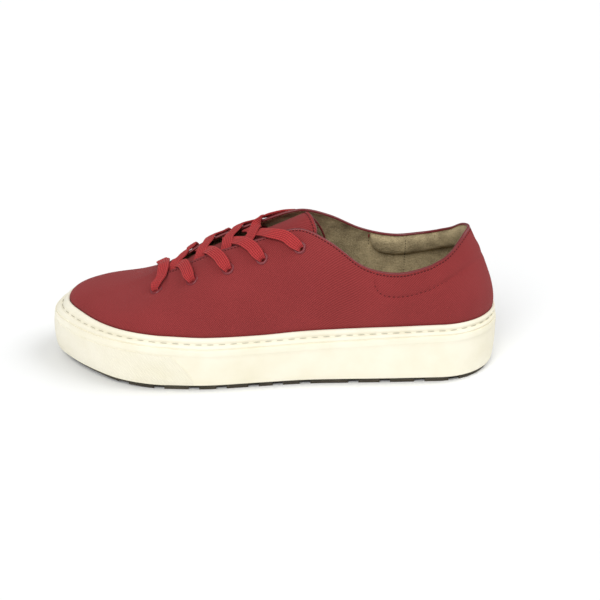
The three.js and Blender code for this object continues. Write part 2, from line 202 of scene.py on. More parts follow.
@dataclass(frozen=True)
class TwillFinish(Finish):
    """Dyed cotton twill: fine diagonal ribs of yarn over a slightly uneven dye."""

    rib: float = 1.2  # rib pitch in mm; real twill has less than 1, too fine to show
    yarn: float = 0.9  # pitch of the floats along a rib
    patch: float = 38.0  # width of an uneven patch of dye
    relief: float = 0.26
    rib_share: float = 0.68  # the ribs' share of the height; the floats have the rest
    slub: float = 1.1  # thick places in the yarn, to a millimetre of cloth
    unevenness: float = 0.45

    def pattern(self, tree: bpy.types.NodeTree, shader: bpy.types.Node) -> None:
        """Adds diagonal ribs, their floats and the uneven dye.

        Args:
            tree: the material's node tree.
            shader: its surface shader.
        """
        cloth = add_node(tree, "ShaderNodeUVMap", {}, uv_map=WEAVE).outputs["UV"]
        turn = (0.0, 0.0, -math.pi / 4)
        along = add_node(tree, "ShaderNodeMapping", {"Vector": cloth, "Rotation": turn})
        slanted = along.outputs["Vector"]
        inputs = {"Vector": slanted, "Scale": wave_scale(self.rib), "Distortion": 0.25}
        ribs = add_node(tree, "ShaderNodeTexWave", inputs, bands_direction="X").outputs["Fac"]
        inputs = {"Vector": slanted, "Scale": wave_scale(self.yarn), "Distortion": 0.6}
        floats = add_node(tree, "ShaderNodeTexWave", inputs, bands_direction="Y").outputs["Fac"]
        inputs = {0: ribs, 1: self.rib_share}
        ribs_share = add_node(tree, "ShaderNodeMath", inputs, operation="MULTIPLY").outputs[0]
        inputs = {0: floats, 1: 1 - self.rib_share, 2: ribs_share}
        cloth_height = add_node(tree, "ShaderNodeMath", inputs, operation="MULTIPLY_ADD").outputs[0]
        solid = add_node(tree, "ShaderNodeTexCoord", {}).outputs["Object"]
        inputs = {"Vector": solid, "Scale": 1 / (self.patch * MM), "Detail": 3.0}
        dye = add_node(tree, "ShaderNodeTexNoise", inputs).outputs["Fac"]
        inputs = {"Vector": cloth, "Scale": self.slub, "Detail": 2.0}
        slub = add_node(tree, "ShaderNodeTexNoise", inputs).outputs["Fac"]
        inputs = {0: dye, 1: slub}
        uneven = add_node(tree, "ShaderNodeMath", inputs, operation="ADD").outputs[0]
        inputs = {0: uneven, 1: self.unevenness, 2: -0.2}
        wander = add_node(tree, "ShaderNodeMath", inputs, operation="MULTIPLY_ADD").outputs[0]
        inputs = {0: cloth_height, 1: 0.8, 2: wander}
        share = add_node(tree, "ShaderNodeMath", inputs, operation="MULTIPLY_ADD").outputs[0]
        self.blend(tree, shader, share)
        self.bump(tree, shader, cloth_height, self.relief)


@dataclass(frozen=True)
class PileFinish(Finish):
    """Brushed cotton lining: short matted fibre, blotchy where it is rubbed."""

    fibre: float = 0.8  # fibre clump in mm
    patch: float = 9.0
    fold: float = 13.0  # pitch of the soft folds that run along the shoe
    fold_weight: float = 1.6  # height of a fold for one of a clump
    relief: float = 0.6

    def pattern(self, tree: bpy.types.NodeTree, shader: bpy.types.Node) -> None:
        """Adds the fibre clumps, the rubbed patches and the soft folds.

        Args:
            tree: the material's node tree.
            shader: its surface shader.
        """
        solid = add_node(tree, "ShaderNodeTexCoord", {}).outputs["Object"]
        inputs = {"Vector": solid, "Scale": 1 / (self.fibre * MM), "Detail": 4.0}
        clumps = add_node(tree, "ShaderNodeTexNoise", inputs).outputs["Fac"]
        inputs = {"Vector": solid, "Scale": 1 / (self.patch * MM), "Detail": 2.0}
        rubbed = add_node(tree, "ShaderNodeTexNoise", inputs).outputs["Fac"]
        inputs = {0: clumps, 1: rubbed}
        both = add_node(tree, "ShaderNodeMath", inputs, operation="ADD").outputs[0]
        inputs = {"Value": both, "From Min": 0.65, "From Max": 1.35}
        share = add_node(tree, "ShaderNodeMapRange", inputs).outputs["Result"]
        self.blend(tree, shader, share)
        inputs = {"Vector": solid, "Scale": (1.0, 1.0, 2.2)}
        drawn = add_node(tree, "ShaderNodeMapping", inputs).outputs["Vector"]
        inputs = {"Vector": drawn, "Scale": 1 / (self.fold * MM), "Detail": 2.0}
        folds = add_node(tree, "ShaderNodeTexNoise", inputs).outputs["Fac"]
        inputs = {0: folds, 1: self.fold_weight, 2: clumps}
        height = add_node(tree, "ShaderNodeMath", inputs, operation="MULTIPLY_ADD").outputs[0]
        self.bump(tree, shader, height, self.relief)


@dataclass(frozen=True)
class RubberFinish(Finish):
    """Moulded rubber: a faint grain from the mould, and ribs where the mould has them."""

    grain: float = 0.9
    relief: float = 0.03
    patch: float = 26.0  # width of a duller patch in mm
    rib: float = 0.0  # pitch of slanted ribs in mm, 0 for none
    rib_slant: float = -38.0  # in degrees
    rib_relief: float = 0.17

    def pattern(self, tree: bpy.types.NodeTree, shader: bpy.types.Node) -> None:
        """Adds the mould grain, the dulled patches and any ribs.

        Args:
            tree: the material's node tree.
            shader: its surface shader.
        """
        solid = add_node(tree, "ShaderNodeTexCoord", {}).outputs["Object"]
        inputs = {"Vector": solid, "Scale": 1 / (self.grain * MM), "Detail": 3.0}
        grain = add_node(tree, "ShaderNodeTexNoise", inputs).outputs["Fac"]
        inputs = {"Vector": solid, "Scale": 1 / (self.patch * MM), "Detail": 4.0}
        patches = add_node(tree, "ShaderNodeTexNoise", inputs).outputs["Fac"]
        inputs = {"Value": patches, "From Min": 0.3, "From Max": 0.62}
        share = add_node(tree, "ShaderNodeMapRange", inputs).outputs["Result"]
        self.blend(tree, shader, share)
        inputs = {
            "Value": patches,
            "From Min": 0.3,
            "From Max": 0.7,
            "To Min": self.roughness + 0.08,
            "To Max": self.roughness - 0.06,
        }
        dull = add_node(tree, "ShaderNodeMapRange", inputs).outputs["Result"]
        tree.links.new(dull, shader.inputs["Roughness"])
        if not self.rib:
            self.bump(tree, shader, grain, self.relief)
            return
        wall = add_node(tree, "ShaderNodeUVMap", {}, uv_map=WEAVE).outputs["UV"]
        turn = (0.0, 0.0, math.radians(self.rib_slant))
        inputs = {"Vector": wall, "Rotation": turn}
        slanted = add_node(tree, "ShaderNodeMapping", inputs).outputs["Vector"]
        inputs = {"Vector": slanted, "Scale": wave_scale(self.rib)}
        ribs = add_node(tree, "ShaderNodeTexWave", inputs, bands_direction="X").outputs["Fac"]
        self.bump(tree, shader, ribs, self.rib_relief)


@dataclass(frozen=True)
class BraidFinish(Finish):
    """Flat cotton braid: yarns that slant in turn one way and the other, rib by rib."""

    rib: float = 1.33  # width of a lengthwise rib in mm
    plait: float = 1.6  # pitch of the plaits; real ones, of about 0.8, are too fine to show
    plait_share: float = 0.16
    # share of painted shade in the grooves between ribs
    groove_shade_share: float = 0.38
    relief: float = 0.3

    def pattern(self, tree: bpy.types.NodeTree, shader: bpy.types.Node) -> None:
        """Adds the slanting plaits, and painted shade along the lines between ribs.

        Args:
            tree: the material's node tree.
            shader: its surface shader.
        """
        cord = add_node(tree, "ShaderNodeUVMap", {}, uv_map=WEAVE).outputs["UV"]
        axes = add_node(tree, "ShaderNodeSeparateXYZ", {"Vector": cord}).outputs
        inputs = {0: axes["Y"], 1: self.rib / 2}
        swing = add_node(tree, "ShaderNodeMath", inputs, operation="PINGPONG").outputs[0]
        inputs = {0: swing, 1: 1.1, 2: axes["X"]}
        slant = add_node(tree, "ShaderNodeMath", inputs, operation="MULTIPLY_ADD").outputs[0]
        inputs = {0: slant, 1: math.tau / self.plait}
        turns = add_node(tree, "ShaderNodeMath", inputs, operation="MULTIPLY").outputs[0]
        plaits = add_node(tree, "ShaderNodeMath", {0: turns}, operation="SINE").outputs[0]
        inputs = {0: axes["Y"], 1: math.tau / self.rib}
        turns = add_node(tree, "ShaderNodeMath", inputs, operation="MULTIPLY").outputs[0]
        ridge = add_node(tree, "ShaderNodeMath", {0: turns}, operation="COSINE").outputs[0]
        inputs = {0: plaits, 1: self.plait_share, 2: 0.56}
        share = add_node(tree, "ShaderNodeMath", inputs, operation="MULTIPLY_ADD").outputs[0]
        # Painted shade: the colour darkens along the grooves between the ribs.
        inputs = {0: ridge, 1: -self.groove_shade_share, 2: share}
        share = add_node(tree, "ShaderNodeMath", inputs, operation="MULTIPLY_ADD").outputs[0]
        self.blend(tree, shader, share)
        self.bump(tree, shader, share, self.relief)


@dataclass(frozen=True)
class YarnFinish(Finish):
    """Thread, binding or enamel: a plain colour with a fine uneven tone."""

    fleck: float = 0.6
    relief: float = 0.04

    def pattern(self, tree: bpy.types.NodeTree, shader: bpy.types.Node) -> None:
        """Adds the fine uneven tone.

        Args:
            tree: the material's node tree.
            shader: its surface shader.
        """
        solid = add_node(tree, "ShaderNodeTexCoord", {}).outputs["Object"]
        inputs = {"Vector": solid, "Scale": 1 / (self.fleck * MM), "Detail": 2.0}
        fleck = add_node(tree, "ShaderNodeTexNoise", inputs).outputs["Fac"]
        self.blend(tree, shader, fleck)
        self.bump(tree, shader, fleck, self.relief)


# Matt red cotton: slanting ribs, a dusty pale edge from its nap.
CANVAS = TwillFinish("dyed cotton twill", "canvas", "#9c3a3b", "#6b2221", 0.88, 0.2, 0.08, "#ffb8b8")
# The same cloth folded tight over the edge: smoother, darker, and glossy where it is rubbed.
PIPING = YarnFinish("folded twill binding", "canvas", "#802529", "#601a1e", 0.36, 0.5, 0.06, "#ffd0d4")
# Khaki nap: soft and blotchy, no shine.
LINING = PileFinish("brushed cotton lining", "lining_cloth", "#cbb991", "#7c6e54", 1.0, 0.1, 0.1, "#e8dcc0")
# Creamy moulded rubber: smooth, half matt.
CUP = RubberFinish("moulded cup rubber", "cup_rubber", "#f6f1de", "#efe9d2", 0.5, 0.35)
# The same rubber with slanting mould ribs.
BUMPER = RubberFinish("ribbed toe rubber", "cup_rubber", "#f3eedc", "#ece6d0", 0.55, 0.35, rib=1.9)
# Dense dark rubber: dull, with a coarse mould grain.
TREAD = RubberFinish("moulded tread rubber", "tread_rubber", "#4c463b", "#38332b", 0.72, 0.3, relief=0.08)
# Enamelled brass ring: deep red, with a thin soft highlight.
ENAMEL = YarnFinish("baked enamel", "eyelet_paint", "#80282e", "#6c2026", 0.4, 0.35, coat=0.1)
# Cotton braid: brighter red than the cloth, ribbed lengthwise.
BRAID = BraidFinish("cotton braid", "lace_braid", "#c63f40", "#7e2224", 0.85, 0.25, 0.1, "#ffb8b0")
# Dark red sewing thread, sunk in its holes, and darker still as painted shade of those holes.
THREAD = YarnFinish("dark sewing thread", "canvas", "#4e1418", "#340c0f", 0.8, 0.25)
# Brighter red thread, packed close over a seam's end.
TACK = YarnFinish("red tack thread", "canvas", "#9c2c31", "#762024", 0.7, 0.3)
# Waxed cream thread in the sole's channel, greyed below the rubber's colour as painted shade of the channel
# round it.
SOLE_THREAD = YarnFinish("waxed sole thread", "cup_rubber", "#c9c4b2", "#b2ad9b", 0.7, 0.3)
# Dull brown thread, half sunk in the nap.
INNER_THREAD = YarnFinish("brown lining thread", "lining_cloth", "#4c4130", "#382f22", 0.9, 0.2)
# Painted shade: near-black rubber set in the grooves, where only shadow falls; no shine at all.
GROOVE_SHADE = RubberFinish("painted groove shade rubber", "tread_rubber", "#1d1b18", "#131210", 0.85, 0.2, relief=0.08)


# ---- The last ------------------------------------------------------------------------------


def clamp(value: float, low: float = 0.0, high: float = 1.0) -> float:
    """Keeps a value between two limits."""
    return min(max(value, low), high)


def mix(start: float, end: float, share: float) -> float:
    """Returns the value a share of the way from start to end."""
    return start + (end - start) * share


def ease(value: float) -> float:
    """Rises smoothly from 0 to 1 over the same range."""
    value = clamp(value)
    return value * value * (3 - 2 * value)


def hump(distance: float, width: float) -> float:
    """Returns a bell of height 1 that fades over a width."""
    return math.exp(-((distance / width) ** 2))


def smooth(places: Sequence[float], values: Sequence[Value], at: float) -> Value:
    """Smooth value through rising places, with the slope of the neighbours at each one.

    Args:
        places: rising positions.
        values: a number or a vector for each.
        at: the position asked for.

    Returns:
        The number or vector there.
    """
    last = len(places) - 2
    index = 0
    while index < last and places[index + 1] <= at:
        index += 1
    before = max(index - 1, 0)
    after = min(index + 2, last + 1)
    span = places[index + 1] - places[index]
    start = (values[index + 1] - values[before]) / (places[index + 1] - places[before])
    end = (values[after] - values[index]) / (places[after] - places[index])
    t = (at - places[index]) / span
    rise = t * t * (3 - 2 * t)
    pull = start * (t * (1 - t) * (1 - t) * span) - end * (t * t * (1 - t) * span)
    return values[index] * (1 - rise) + values[index + 1] * rise + pull


TOE_X = -71.0  # the toe sections fan out round this point
HEEL_X = 109.0
TOE_Y = 4.0
AXIS_STRAIGHT_X = 40.0
TOE_ARC = 1.13  # ring millimetres for a degree of turn
HEEL_ARC = 0.7
TOE_RING = 90 * TOE_ARC
BODY_RING = TOE_RING + HEEL_X - TOE_X
HALF_RING = BODY_RING + 90 * HEEL_ARC
FULL_RING = 2 * HALF_RING
UPPER_WALL = 2.0
TUCK = 1.0
GAP = 0.3


@dataclass(frozen=True)
class Row:
    """One row of the section table. Heights and distances are in millimetres.

    turn is in degrees from straight across, x is where the plane stands on the long axis, lat and
    med are the sole's half-widths, inset runs from there to the foot of the upper, rim is the
    height of the groove under the strip, foot the strip's top edge, lift the toe spring, bed the
    cup's floor at its edge. top, lat_z and med_z place the top line. swell and rise are the way
    the upper leaves the strip, flare and drop the way it arrives at the top line.
    """

    turn: float
    x: float
    lat: float
    med: float
    inset: float
    rim: float
    foot: float
    lift: float
    bed: float
    top: float
    lat_z: float
    med_z: float
    swell: float
    rise: float
    flare: float
    drop: float

    @property
    def ring(self) -> float:
        """Place on the ring, on the lateral side."""
        if self.turn < 0:
            return (self.turn + 90) * TOE_ARC
        return TOE_RING + self.x - TOE_X + self.turn * HEEL_ARC


ROWS = (
    Row(-90, TOE_X, 79.9, 79.9, 11.2, 33.2, 40.5, 3.0, 17.0, 6.0, 64.3, 64.3, -0.6, 10.5, 24.0, 18.5),
    Row(-72, TOE_X, 70.6, 80.4, 10.5, 33.1, 39.8, 3.2, 16.5, 6.2, 64.3, 64.3, -0.2, 10.5, 22.0, 18.0),
    Row(-54, TOE_X, 63.8, 73.4, 9.4, 33.4, 38.8, 3.0, 15.5, 6.6, 64.3, 64.3, 0.2, 10.5, 20.0, 16.0),
    Row(-34, TOE_X, 59.4, 59.6, 8.0, 33.6, 38.5, 1.6, 14.0, 7.0, 64.3, 64.3, 0.6, 10.5, 18.0, 12.0),
    Row(-16, TOE_X, 57.0, 51.2, 7.1, 32.9, 38.0, 0.7, 13.0, 7.4, 64.5, 64.5, 0.9, 12.0, 17.0, 6.5),
    Row(0, TOE_X, 56.2, 47.6, 6.6, 31.5, 37.3, 0.0, 12.5, 7.8, 65.2, 65.2, 1.0, 14.5, 16.0, 3.0),
    Row(0, -45, 56.0, 44.0, 5.9, 30.1, 36.8, 0.0, 12.5, 13.5, 79.4, 79.4, 1.2, 17.0, 16.5, 3.6),
    Row(0, -10, 50.3, 37.2, 5.5, 30.3, 36.8, 0.0, 13.0, 16.0, 92.6, 93.0, 1.5, 21.0, 16.0, 5.0),
    Row(0, 16, 46.0, 34.5, 5.5, 30.8, 38.0, 0.0, 14.0, 16.5, 100.4, 101.2, 2.0, 22.0, 14.5, 7.0),
    Row(0, 36, 44.0, 34.3, 5.5, 31.8, 38.8, 0.0, 15.0, 22.5, 93.6, 95.2, 2.4, 19.0, 11.0, 8.5),
    Row(0, 58, 43.2, 36.3, 5.5, 32.9, 39.6, 0.0, 16.0, 29.6, 79.2, 82.6, 2.5, 15.0, 6.0, 9.0),
    Row(0, 80, 42.5, 38.5, 5.5, 34.1, 40.1, 0.0, 17.0, 32.0, 75.2, 77.0, 2.2, 13.0, 3.8, 9.0),
    Row(0, 100, 41.5, 39.5, 5.3, 34.9, 40.7, 0.0, 17.0, 29.0, 78.8, 79.8, 2.3, 13.5, 5.0, 11.0),
    Row(0, HEEL_X, 41.1, 39.9, 5.1, 35.1, 41.0, 0.0, 17.0, 25.2, 82.2, 82.8, 2.4, 14.0, 6.0, 12.0),
    Row(30, HEEL_X, 40.3, 40.1, 4.4, 35.2, 41.3, 0.0, 17.0, 19.4, 88.5, 88.5, 2.4, 15.0, 8.5, 15.0),
    Row(60, HEEL_X, 39.9, 39.9, 3.5, 34.8, 41.1, 0.0, 17.0, 18.4, 94.0, 94.0, 2.0, 15.5, 9.0, 18.0),
    Row(90, HEEL_X, 40.0, 40.0, 2.4, 34.2, 40.7, 0.0, 17.0, 19.6, 96.0, 96.0, 1.7, 15.4, 9.4, 21.0),
)
SHARED = ("inset", "rim", "foot", "lift", "bed", "top", "swell", "rise", "flare", "drop")


@dataclass(frozen=True)
class Section:
    """All the sizes of the shoe in one upright plane."""

    ring: float
    centre: Vector
    out: Vector
    edge: float
    inset: float
    rim: float
    foot: float
    lift: float
    bed: float
    axis_bed: float
    top: float
    top_z: float
    swell: float
    rise: float
    flare: float
    drop: float

    @property
    def foot_r(self) -> float:
        """Distance of the upper's foot from the axis."""
        return self.edge - self.inset

    def place(self, r: float, z: float) -> Vector:
        """Returns a point of the plane in the frame, in metres."""
        point = self.centre + self.out * r
        return Vector((point.x, point.y, z)) * MM

    def underside(self, r: float) -> float:
        """Height of the sole's underside."""
        return self.lift * (r / self.edge) ** 2.5

    def floor(self, r: float) -> float:
        """Height of the cup's floor."""
        return self.axis_bed + (self.bed - self.axis_bed) * (r / self.edge) ** 2

    def face(self, up: float, depth: float = 0.0) -> Flat:
        """Point of the upper, under its outer face.

        Args:
            up: 0 on the strip and 1 on the top line; down to -1 in the cup.
            depth: distance in from the outer face.

        Returns:
            Distance from the axis and height.
        """
        if up < 0:
            share = -up
            r = self.foot_r - TUCK * share
            z = mix(self.foot, self.floor(self.foot_r) + GAP, share)
            return r - depth, z
        r0, r1, r2, r3 = self.foot_r, self.foot_r + self.swell, self.top + self.flare, self.top
        z0, z1, z2, z3 = self.foot, self.foot + self.rise, self.top_z - self.drop, self.top_z
        down = 1 - up
        a, b, c, d = down**3, 3 * up * down**2, 3 * up**2 * down, up**3
        point = (a * r0 + b * r1 + c * r2 + d * r3, a * z0 + b * z1 + c * z2 + d * z3)
        if not depth:
            return point
        a, b, c = down**2, 2 * up * down, up**2
        along_r = a * (r1 - r0) + b * (r2 - r1) + c * (r3 - r2)
        along_z = a * (z1 - z0) + b * (z2 - z1) + c * (z3 - z2)
        length = math.hypot(along_r, along_z)
        return point[0] - along_z / length * depth, point[1] + along_r / length * depth

    @cached_property
    def lengths(self) -> tuple[float, ...]:
        """Lengths of cloth from the top line down to even shares of the way."""
        count = 40
        points = [self.face(1 - index / count) for index in range(count + 1)]
        lengths = [0.0]
        for first, second in zip(points, points[1:]):
            lengths.append(lengths[-1] + math.dist(first, second))
        return tuple(lengths)

    def below(self, up: float) -> float:
        """Length of cloth from the top line down to a place.

        Args:
            up: share of the way up, less than 0 inside the cup.

        Returns:
            The length in millimetres.
        """
        if up < 0:
            return self.lengths[-1] - up * (self.foot - self.bed)
        at = clamp(1 - up) * (len(self.lengths) - 1)
        index = min(int(at), len(self.lengths) - 2)
        return mix(self.lengths[index], self.lengths[index + 1], at - index)

    def up_at(self, below: float) -> float:
        """Share of the way up at a length of cloth below the top line.

        Args:
            below: the length in millimetres.

        Returns:
            The share, 0 where the length is more than the section has.
        """
        count = len(self.lengths) - 1
        for index in range(count):
            if self.lengths[index + 1] >= below:
                step = self.lengths[index + 1] - self.lengths[index]
                return 1 - (index + (below - self.lengths[index]) / step) / count
        return 0.0


class Side(Enum):
    """Sides of the shoe, by the sign of Y."""

    LATERAL = -1
    MEDIAL = 1

    @property
    def other(self) -> Side:
        """The other side."""
        return Side(-self.value)

    def ring(self, along: float) -> float:
        """Place on the ring at a distance from the toe tip on this side."""
        return along if self is Side.LATERAL else FULL_RING - along


class Last:
    """The shoe's own shape: smooth sections at every place on the ring."""

    def __init__(self, sole_node: str) -> None:
        """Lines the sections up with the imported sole.

        Args:
            sole_node: the node whose outline is the widest of the sole.
        """
        loop = [(row.ring, row, Side.LATERAL) for row in ROWS]
        loop += [(FULL_RING - row.ring, row, Side.MEDIAL) for row in ROWS[-2:0:-1]]
        wrapped = [(ring - FULL_RING, row, side) for ring, row, side in loop[-2:]] + loop
        wrapped += [(ring + FULL_RING, row, side) for ring, row, side in loop[:3]]
        self._places = [ring for ring, _, _ in wrapped]
        lateral = [side is Side.LATERAL for _, _, side in wrapped]
        rows = [row for _, row, _ in wrapped]
        self._values = {name: [getattr(row, name) for row in rows] for name in SHARED}
        pairs = list(zip(rows, lateral))
        self._values["edge"] = [row.lat if side else row.med for row, side in pairs]
        self._values["top_z"] = [row.lat_z if side else row.med_z for row, side in pairs]
        self._known: dict[float, Section] = {}
        self._shift = Vector((0.0, 0.0, 0.0))
        sections = [self.section(index) for index in range(int(FULL_RING))]
        outline = [section.place(section.edge, 0.0) for section in sections]
        low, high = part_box(sole_node)
        for axis in (0, 1):
            values = [point[axis] for point in outline]
            self._shift[axis] = ((low[axis] + high[axis]) - (min(values) + max(values))) / 2 / MM
        self._known.clear()

    @property
    def shift(self) -> Vector:
        """Step from the section table's own origin to the frame's, in millimetres."""
        return self._shift.copy()

    @staticmethod
    def axis_y(x: float) -> float:
        """Long axis of the shoe: how far it lies from y = 0 in the table's frame."""
        return TOE_Y * clamp((AXIS_STRAIGHT_X - x) / (AXIS_STRAIGHT_X - TOE_X))

    def outwards(self, point: Vector) -> Vector:
        """Level direction from the long axis to a point in millimetres."""
        x = clamp(point.x, TOE_X, HEEL_X)
        return Vector((point.x - x, point.y - self.axis_y(x), 0.0)).normalized()

    def section(self, ring: float) -> Section:
        """Returns the section at a place on the ring.

        Args:
            ring: the place, which may be past either end of the ring.

        Returns:
            The section, kept for the next time.
        """
        ring = round(ring % FULL_RING, 4)
        if ring in self._known:
            return self._known[ring]
        medial = ring > HALF_RING
        along = FULL_RING - ring if medial else ring
        x = clamp(TOE_X + along - TOE_RING, TOE_X, HEEL_X)
        turn = 0.0
        if along < TOE_RING:
            turn = math.radians(along / TOE_ARC - 90)
        elif along > BODY_RING:
            turn = math.radians((along - BODY_RING) / HEEL_ARC)
        across = math.cos(turn) if medial else -math.cos(turn)
        values = {name: smooth(self._places, column, ring) for name, column in self._values.items()}
        values["lift"] = max(values["lift"], 0.0)
        axis_bed = values["bed"]
        if turn:
            centre_ring = TOE_RING if turn < 0 else BODY_RING
            axis_bed = smooth(self._places, self._values["bed"], centre_ring)
        centre = Vector((x, self.axis_y(x), 0.0)) + self._shift
        out = Vector((math.sin(turn), across, 0.0))
        section = Section(ring=ring, centre=centre, out=out, axis_bed=axis_bed, **values)
        self._known[ring] = section
        return section

    def cloth(self, ring: float, up: float) -> Flat:
        """Where a place of the upper lies on the flat cloth, in millimetres.

        The cloth is one piece over the toe, and meets itself at the back of the heel.

        Args:
            ring: place on the ring.
            up: share of the way up.

        Returns:
            The two places on the cloth.
        """
        section = self.section(ring)
        length = section.top + section.below(up)
        along = min(ring % FULL_RING, FULL_RING - ring % FULL_RING)
        if along < TOE_RING:
            return TOE_X + section.out.x * length, -section.out.y * length
        return TOE_X + along - TOE_RING, math.copysign(length, -section.out.y)

    def face_at(self, ring: float, up: float, lift: float = 0.0) -> tuple[Vector, Vector]:
        """Point over the upper's outer face, and the face's outward normal.

        Args:
            ring: place on the ring.
            up: share of the way up.
            lift: height over the face in millimetres; below it where negative.

        Returns:
            Point in millimetres and unit normal.
        """
        here = self.section(ring)
        point = here.place(*here.face(up)) / MM
        ahead = self.section(ring + 2)
        along = ahead.place(*ahead.face(up)) / MM - point
        climb = point - here.place(*here.face(up - 0.04)) / MM
        normal = along.cross(climb).normalized()
        if normal.z < 0:
            normal.negate()
        return point + normal * lift, normal


# ---- Meshes --------------------------------------------------------------------------------


def grid_mesh(across: int, along: int, place: Place, weave: Weave) -> bmesh.types.BMesh:
    """Bends a grid into a surface, with its weave map, and closes where it meets itself.

    Args:
        across: steps in the first direction.
        along: steps in the second.
        place: gives each grid point's place in metres.
        weave: gives each grid point's place on the cloth.

    Returns:
        The mesh.
    """
    mesh = bmesh.new()
    bmesh.ops.create_grid(mesh, x_segments=across, y_segments=along, size=1.0)
    stations = {}
    for vert in mesh.verts:
        first = round((vert.co.x + 1) / 2 * across)
        second = round((vert.co.y + 1) / 2 * along)
        stations[vert] = (first, second)
    layer = mesh.loops.layers.uv.new(WEAVE)
    for face in mesh.faces:
        for loop in face.loops:
            loop[layer].uv = weave(*stations[loop.vert])
    for vert, station in stations.items():
        vert.co = place(*station)
    bmesh.ops.remove_doubles(mesh, verts=mesh.verts, dist=MERGE)
    return mesh


def band_mesh(
    lines: Sequence[Sequence[Vector]], weave: Weave, closed: bool = False
) -> bmesh.types.BMesh:
    """Joins closed loops of points, in metres, into one skin.

    Args:
        lines: loops of equal count, without their first point repeated.
        weave: place on the cloth for a loop's number and a point's number.
        closed: whether the last loop joins the first; if not, each end closes on its middle.

    Returns:
        The mesh.
    """
    loops = [list(line) for line in lines]
    if closed:
        loops.append(loops[0])
    else:
        loops = [shut(loops[0]), *loops, shut(loops[-1])]
    count = len(loops[0])

    def place(first: int, second: int) -> Vector:
        """Point of a loop, whose last point is its first again."""
        return loops[first][second % count]

    return grid_mesh(len(loops) - 1, count, place, weave)


def shut(loop: Sequence[Vector]) -> list[Vector]:
    """Presses a loop onto its middle line, so that the skin's end closes."""
    count = len(loop)
    return [(loop[index] + loop[count - 1 - index]) / 2 for index in range(count)]


def to_object(
    mesh: bmesh.types.BMesh, name: str, finish: Finish, crease: float = 38.0
) -> bpy.types.Object:
    """Makes a piece of a mesh, smooth up to a crease angle, and sets it on the shoe's body.

    Args:
        mesh: the finished mesh, which is freed.
        name: the piece's name.
        finish: its finish.
        crease: angle in degrees past which an edge stays sharp.

    Returns:
        The piece.
    """
    bmesh.ops.remove_doubles(mesh, verts=mesh.verts, dist=MERGE)
    bmesh.ops.dissolve_degenerate(mesh, edges=mesh.edges, dist=MERGE / 10)
    bmesh.ops.recalc_face_normals(mesh, faces=mesh.faces)
    limit = math.radians(crease)
    for face in mesh.faces:
        face.smooth = True
    for edge in mesh.edges:
        edge.smooth = edge.calc_face_angle(0.0) < limit
    data = bpy.data.meshes.new(name)
    mesh.to_mesh(data)
    mesh.free()
    piece = bpy.data.objects.new(name, data)
    bpy.context.scene.collection.objects.link(piece)
    data.materials.append(finish.material())
    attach(piece, BODY)
    return piece


def stitch_row(
    name: str,
    places: Sequence[tuple[Vector, Vector, Vector]],
    size: Size,
    finish: Finish,
) -> bpy.types.Object:
    """Makes a row of stitches as one piece.

    Args:
        name: the piece's name.
        places: middle in millimetres, direction and outward normal of each stitch.
        size: half length, half width and half height in millimetres.
        finish: the thread's finish.

    Returns:
        The piece.
    """
    mesh = bmesh.new()
    for point, along, normal in places:
        forward = along.normalized()
        across = normal.cross(forward).normalized()
        up = forward.cross(across)
        turn = Matrix((forward, across, up)).transposed().to_4x4()
        matrix = Matrix.Translation(point * MM) @ turn @ Matrix.Diagonal((*size, 1.0))
        bmesh.ops.create_uvsphere(mesh, u_segments=8, v_segments=6, radius=MM, matrix=matrix)
    return to_object(mesh, name, finish)


def spread(points: Sequence[Vector], pitch: float) -> list[tuple[Vector, Vector]]:
    """Spaces places evenly along a line.

    Args:
        points: the line's points.
        pitch: distance from one place to the next.

    Returns:
        Point and direction of each place.
    """
    found = []
    travelled = 0.0
    wanted = pitch / 2
    for first, second in zip(points, points[1:]):
        step = (second - first).length
        while step and travelled + step >= wanted:
            share = (wanted - travelled) / step
            found.append((first.lerp(second, share), (second - first).normalized()))
            wanted += pitch
        travelled += step
    return found


# ---- Upper ---------------------------------------------------------------------------------


@dataclass
class HeelPad:
    """Outline of the foam pad in the collar, which the upper shows as a soft dent."""

    start: float = 236.7  # ring place of its front end
    corner: float = 11.0  # length of its round front corner
    squareness: float = 2.8  # 2 is a quarter of an ellipse, and more is squarer
    depth: float = 15.0  # below the top line, behind the corner
    heel_depth: float = 20.6
    swell: float = 4.2  # how far it stands out inside

    def lower_edge(self, ring: float) -> float:
        """Depth of the pad's lower edge below the top line.

        Args:
            ring: place on the ring.

        Returns:
            The depth, or -1 in front of the pad.
        """
        along = min(ring % FULL_RING, FULL_RING - ring % FULL_RING)
        if along < self.start:
            return -1.0
        share = clamp((along - self.start) / self.corner)
        back = ease((along - BODY_RING) / (HALF_RING - BODY_RING))
        rounded = (1 - (1 - share) ** self.squareness) ** (1 / self.squareness)
        return mix(self.depth, self.heel_depth, back) * rounded

    def outline(self, steps: int = 260) -> list[Flat]:
        """Points along the lower edge, from the lateral front to the medial front.

        Args:
            steps: how many steps between them.

        Returns:
            Ring place and depth of each point.
        """
        end = FULL_RING - self.start
        found = []
        for index in range(steps + 1):
            share = index / steps
            ring = self.start + (end - self.start) * (0.5 - 0.5 * math.cos(math.pi * share))
            found.append((ring, self.lower_edge(ring)))
        return found


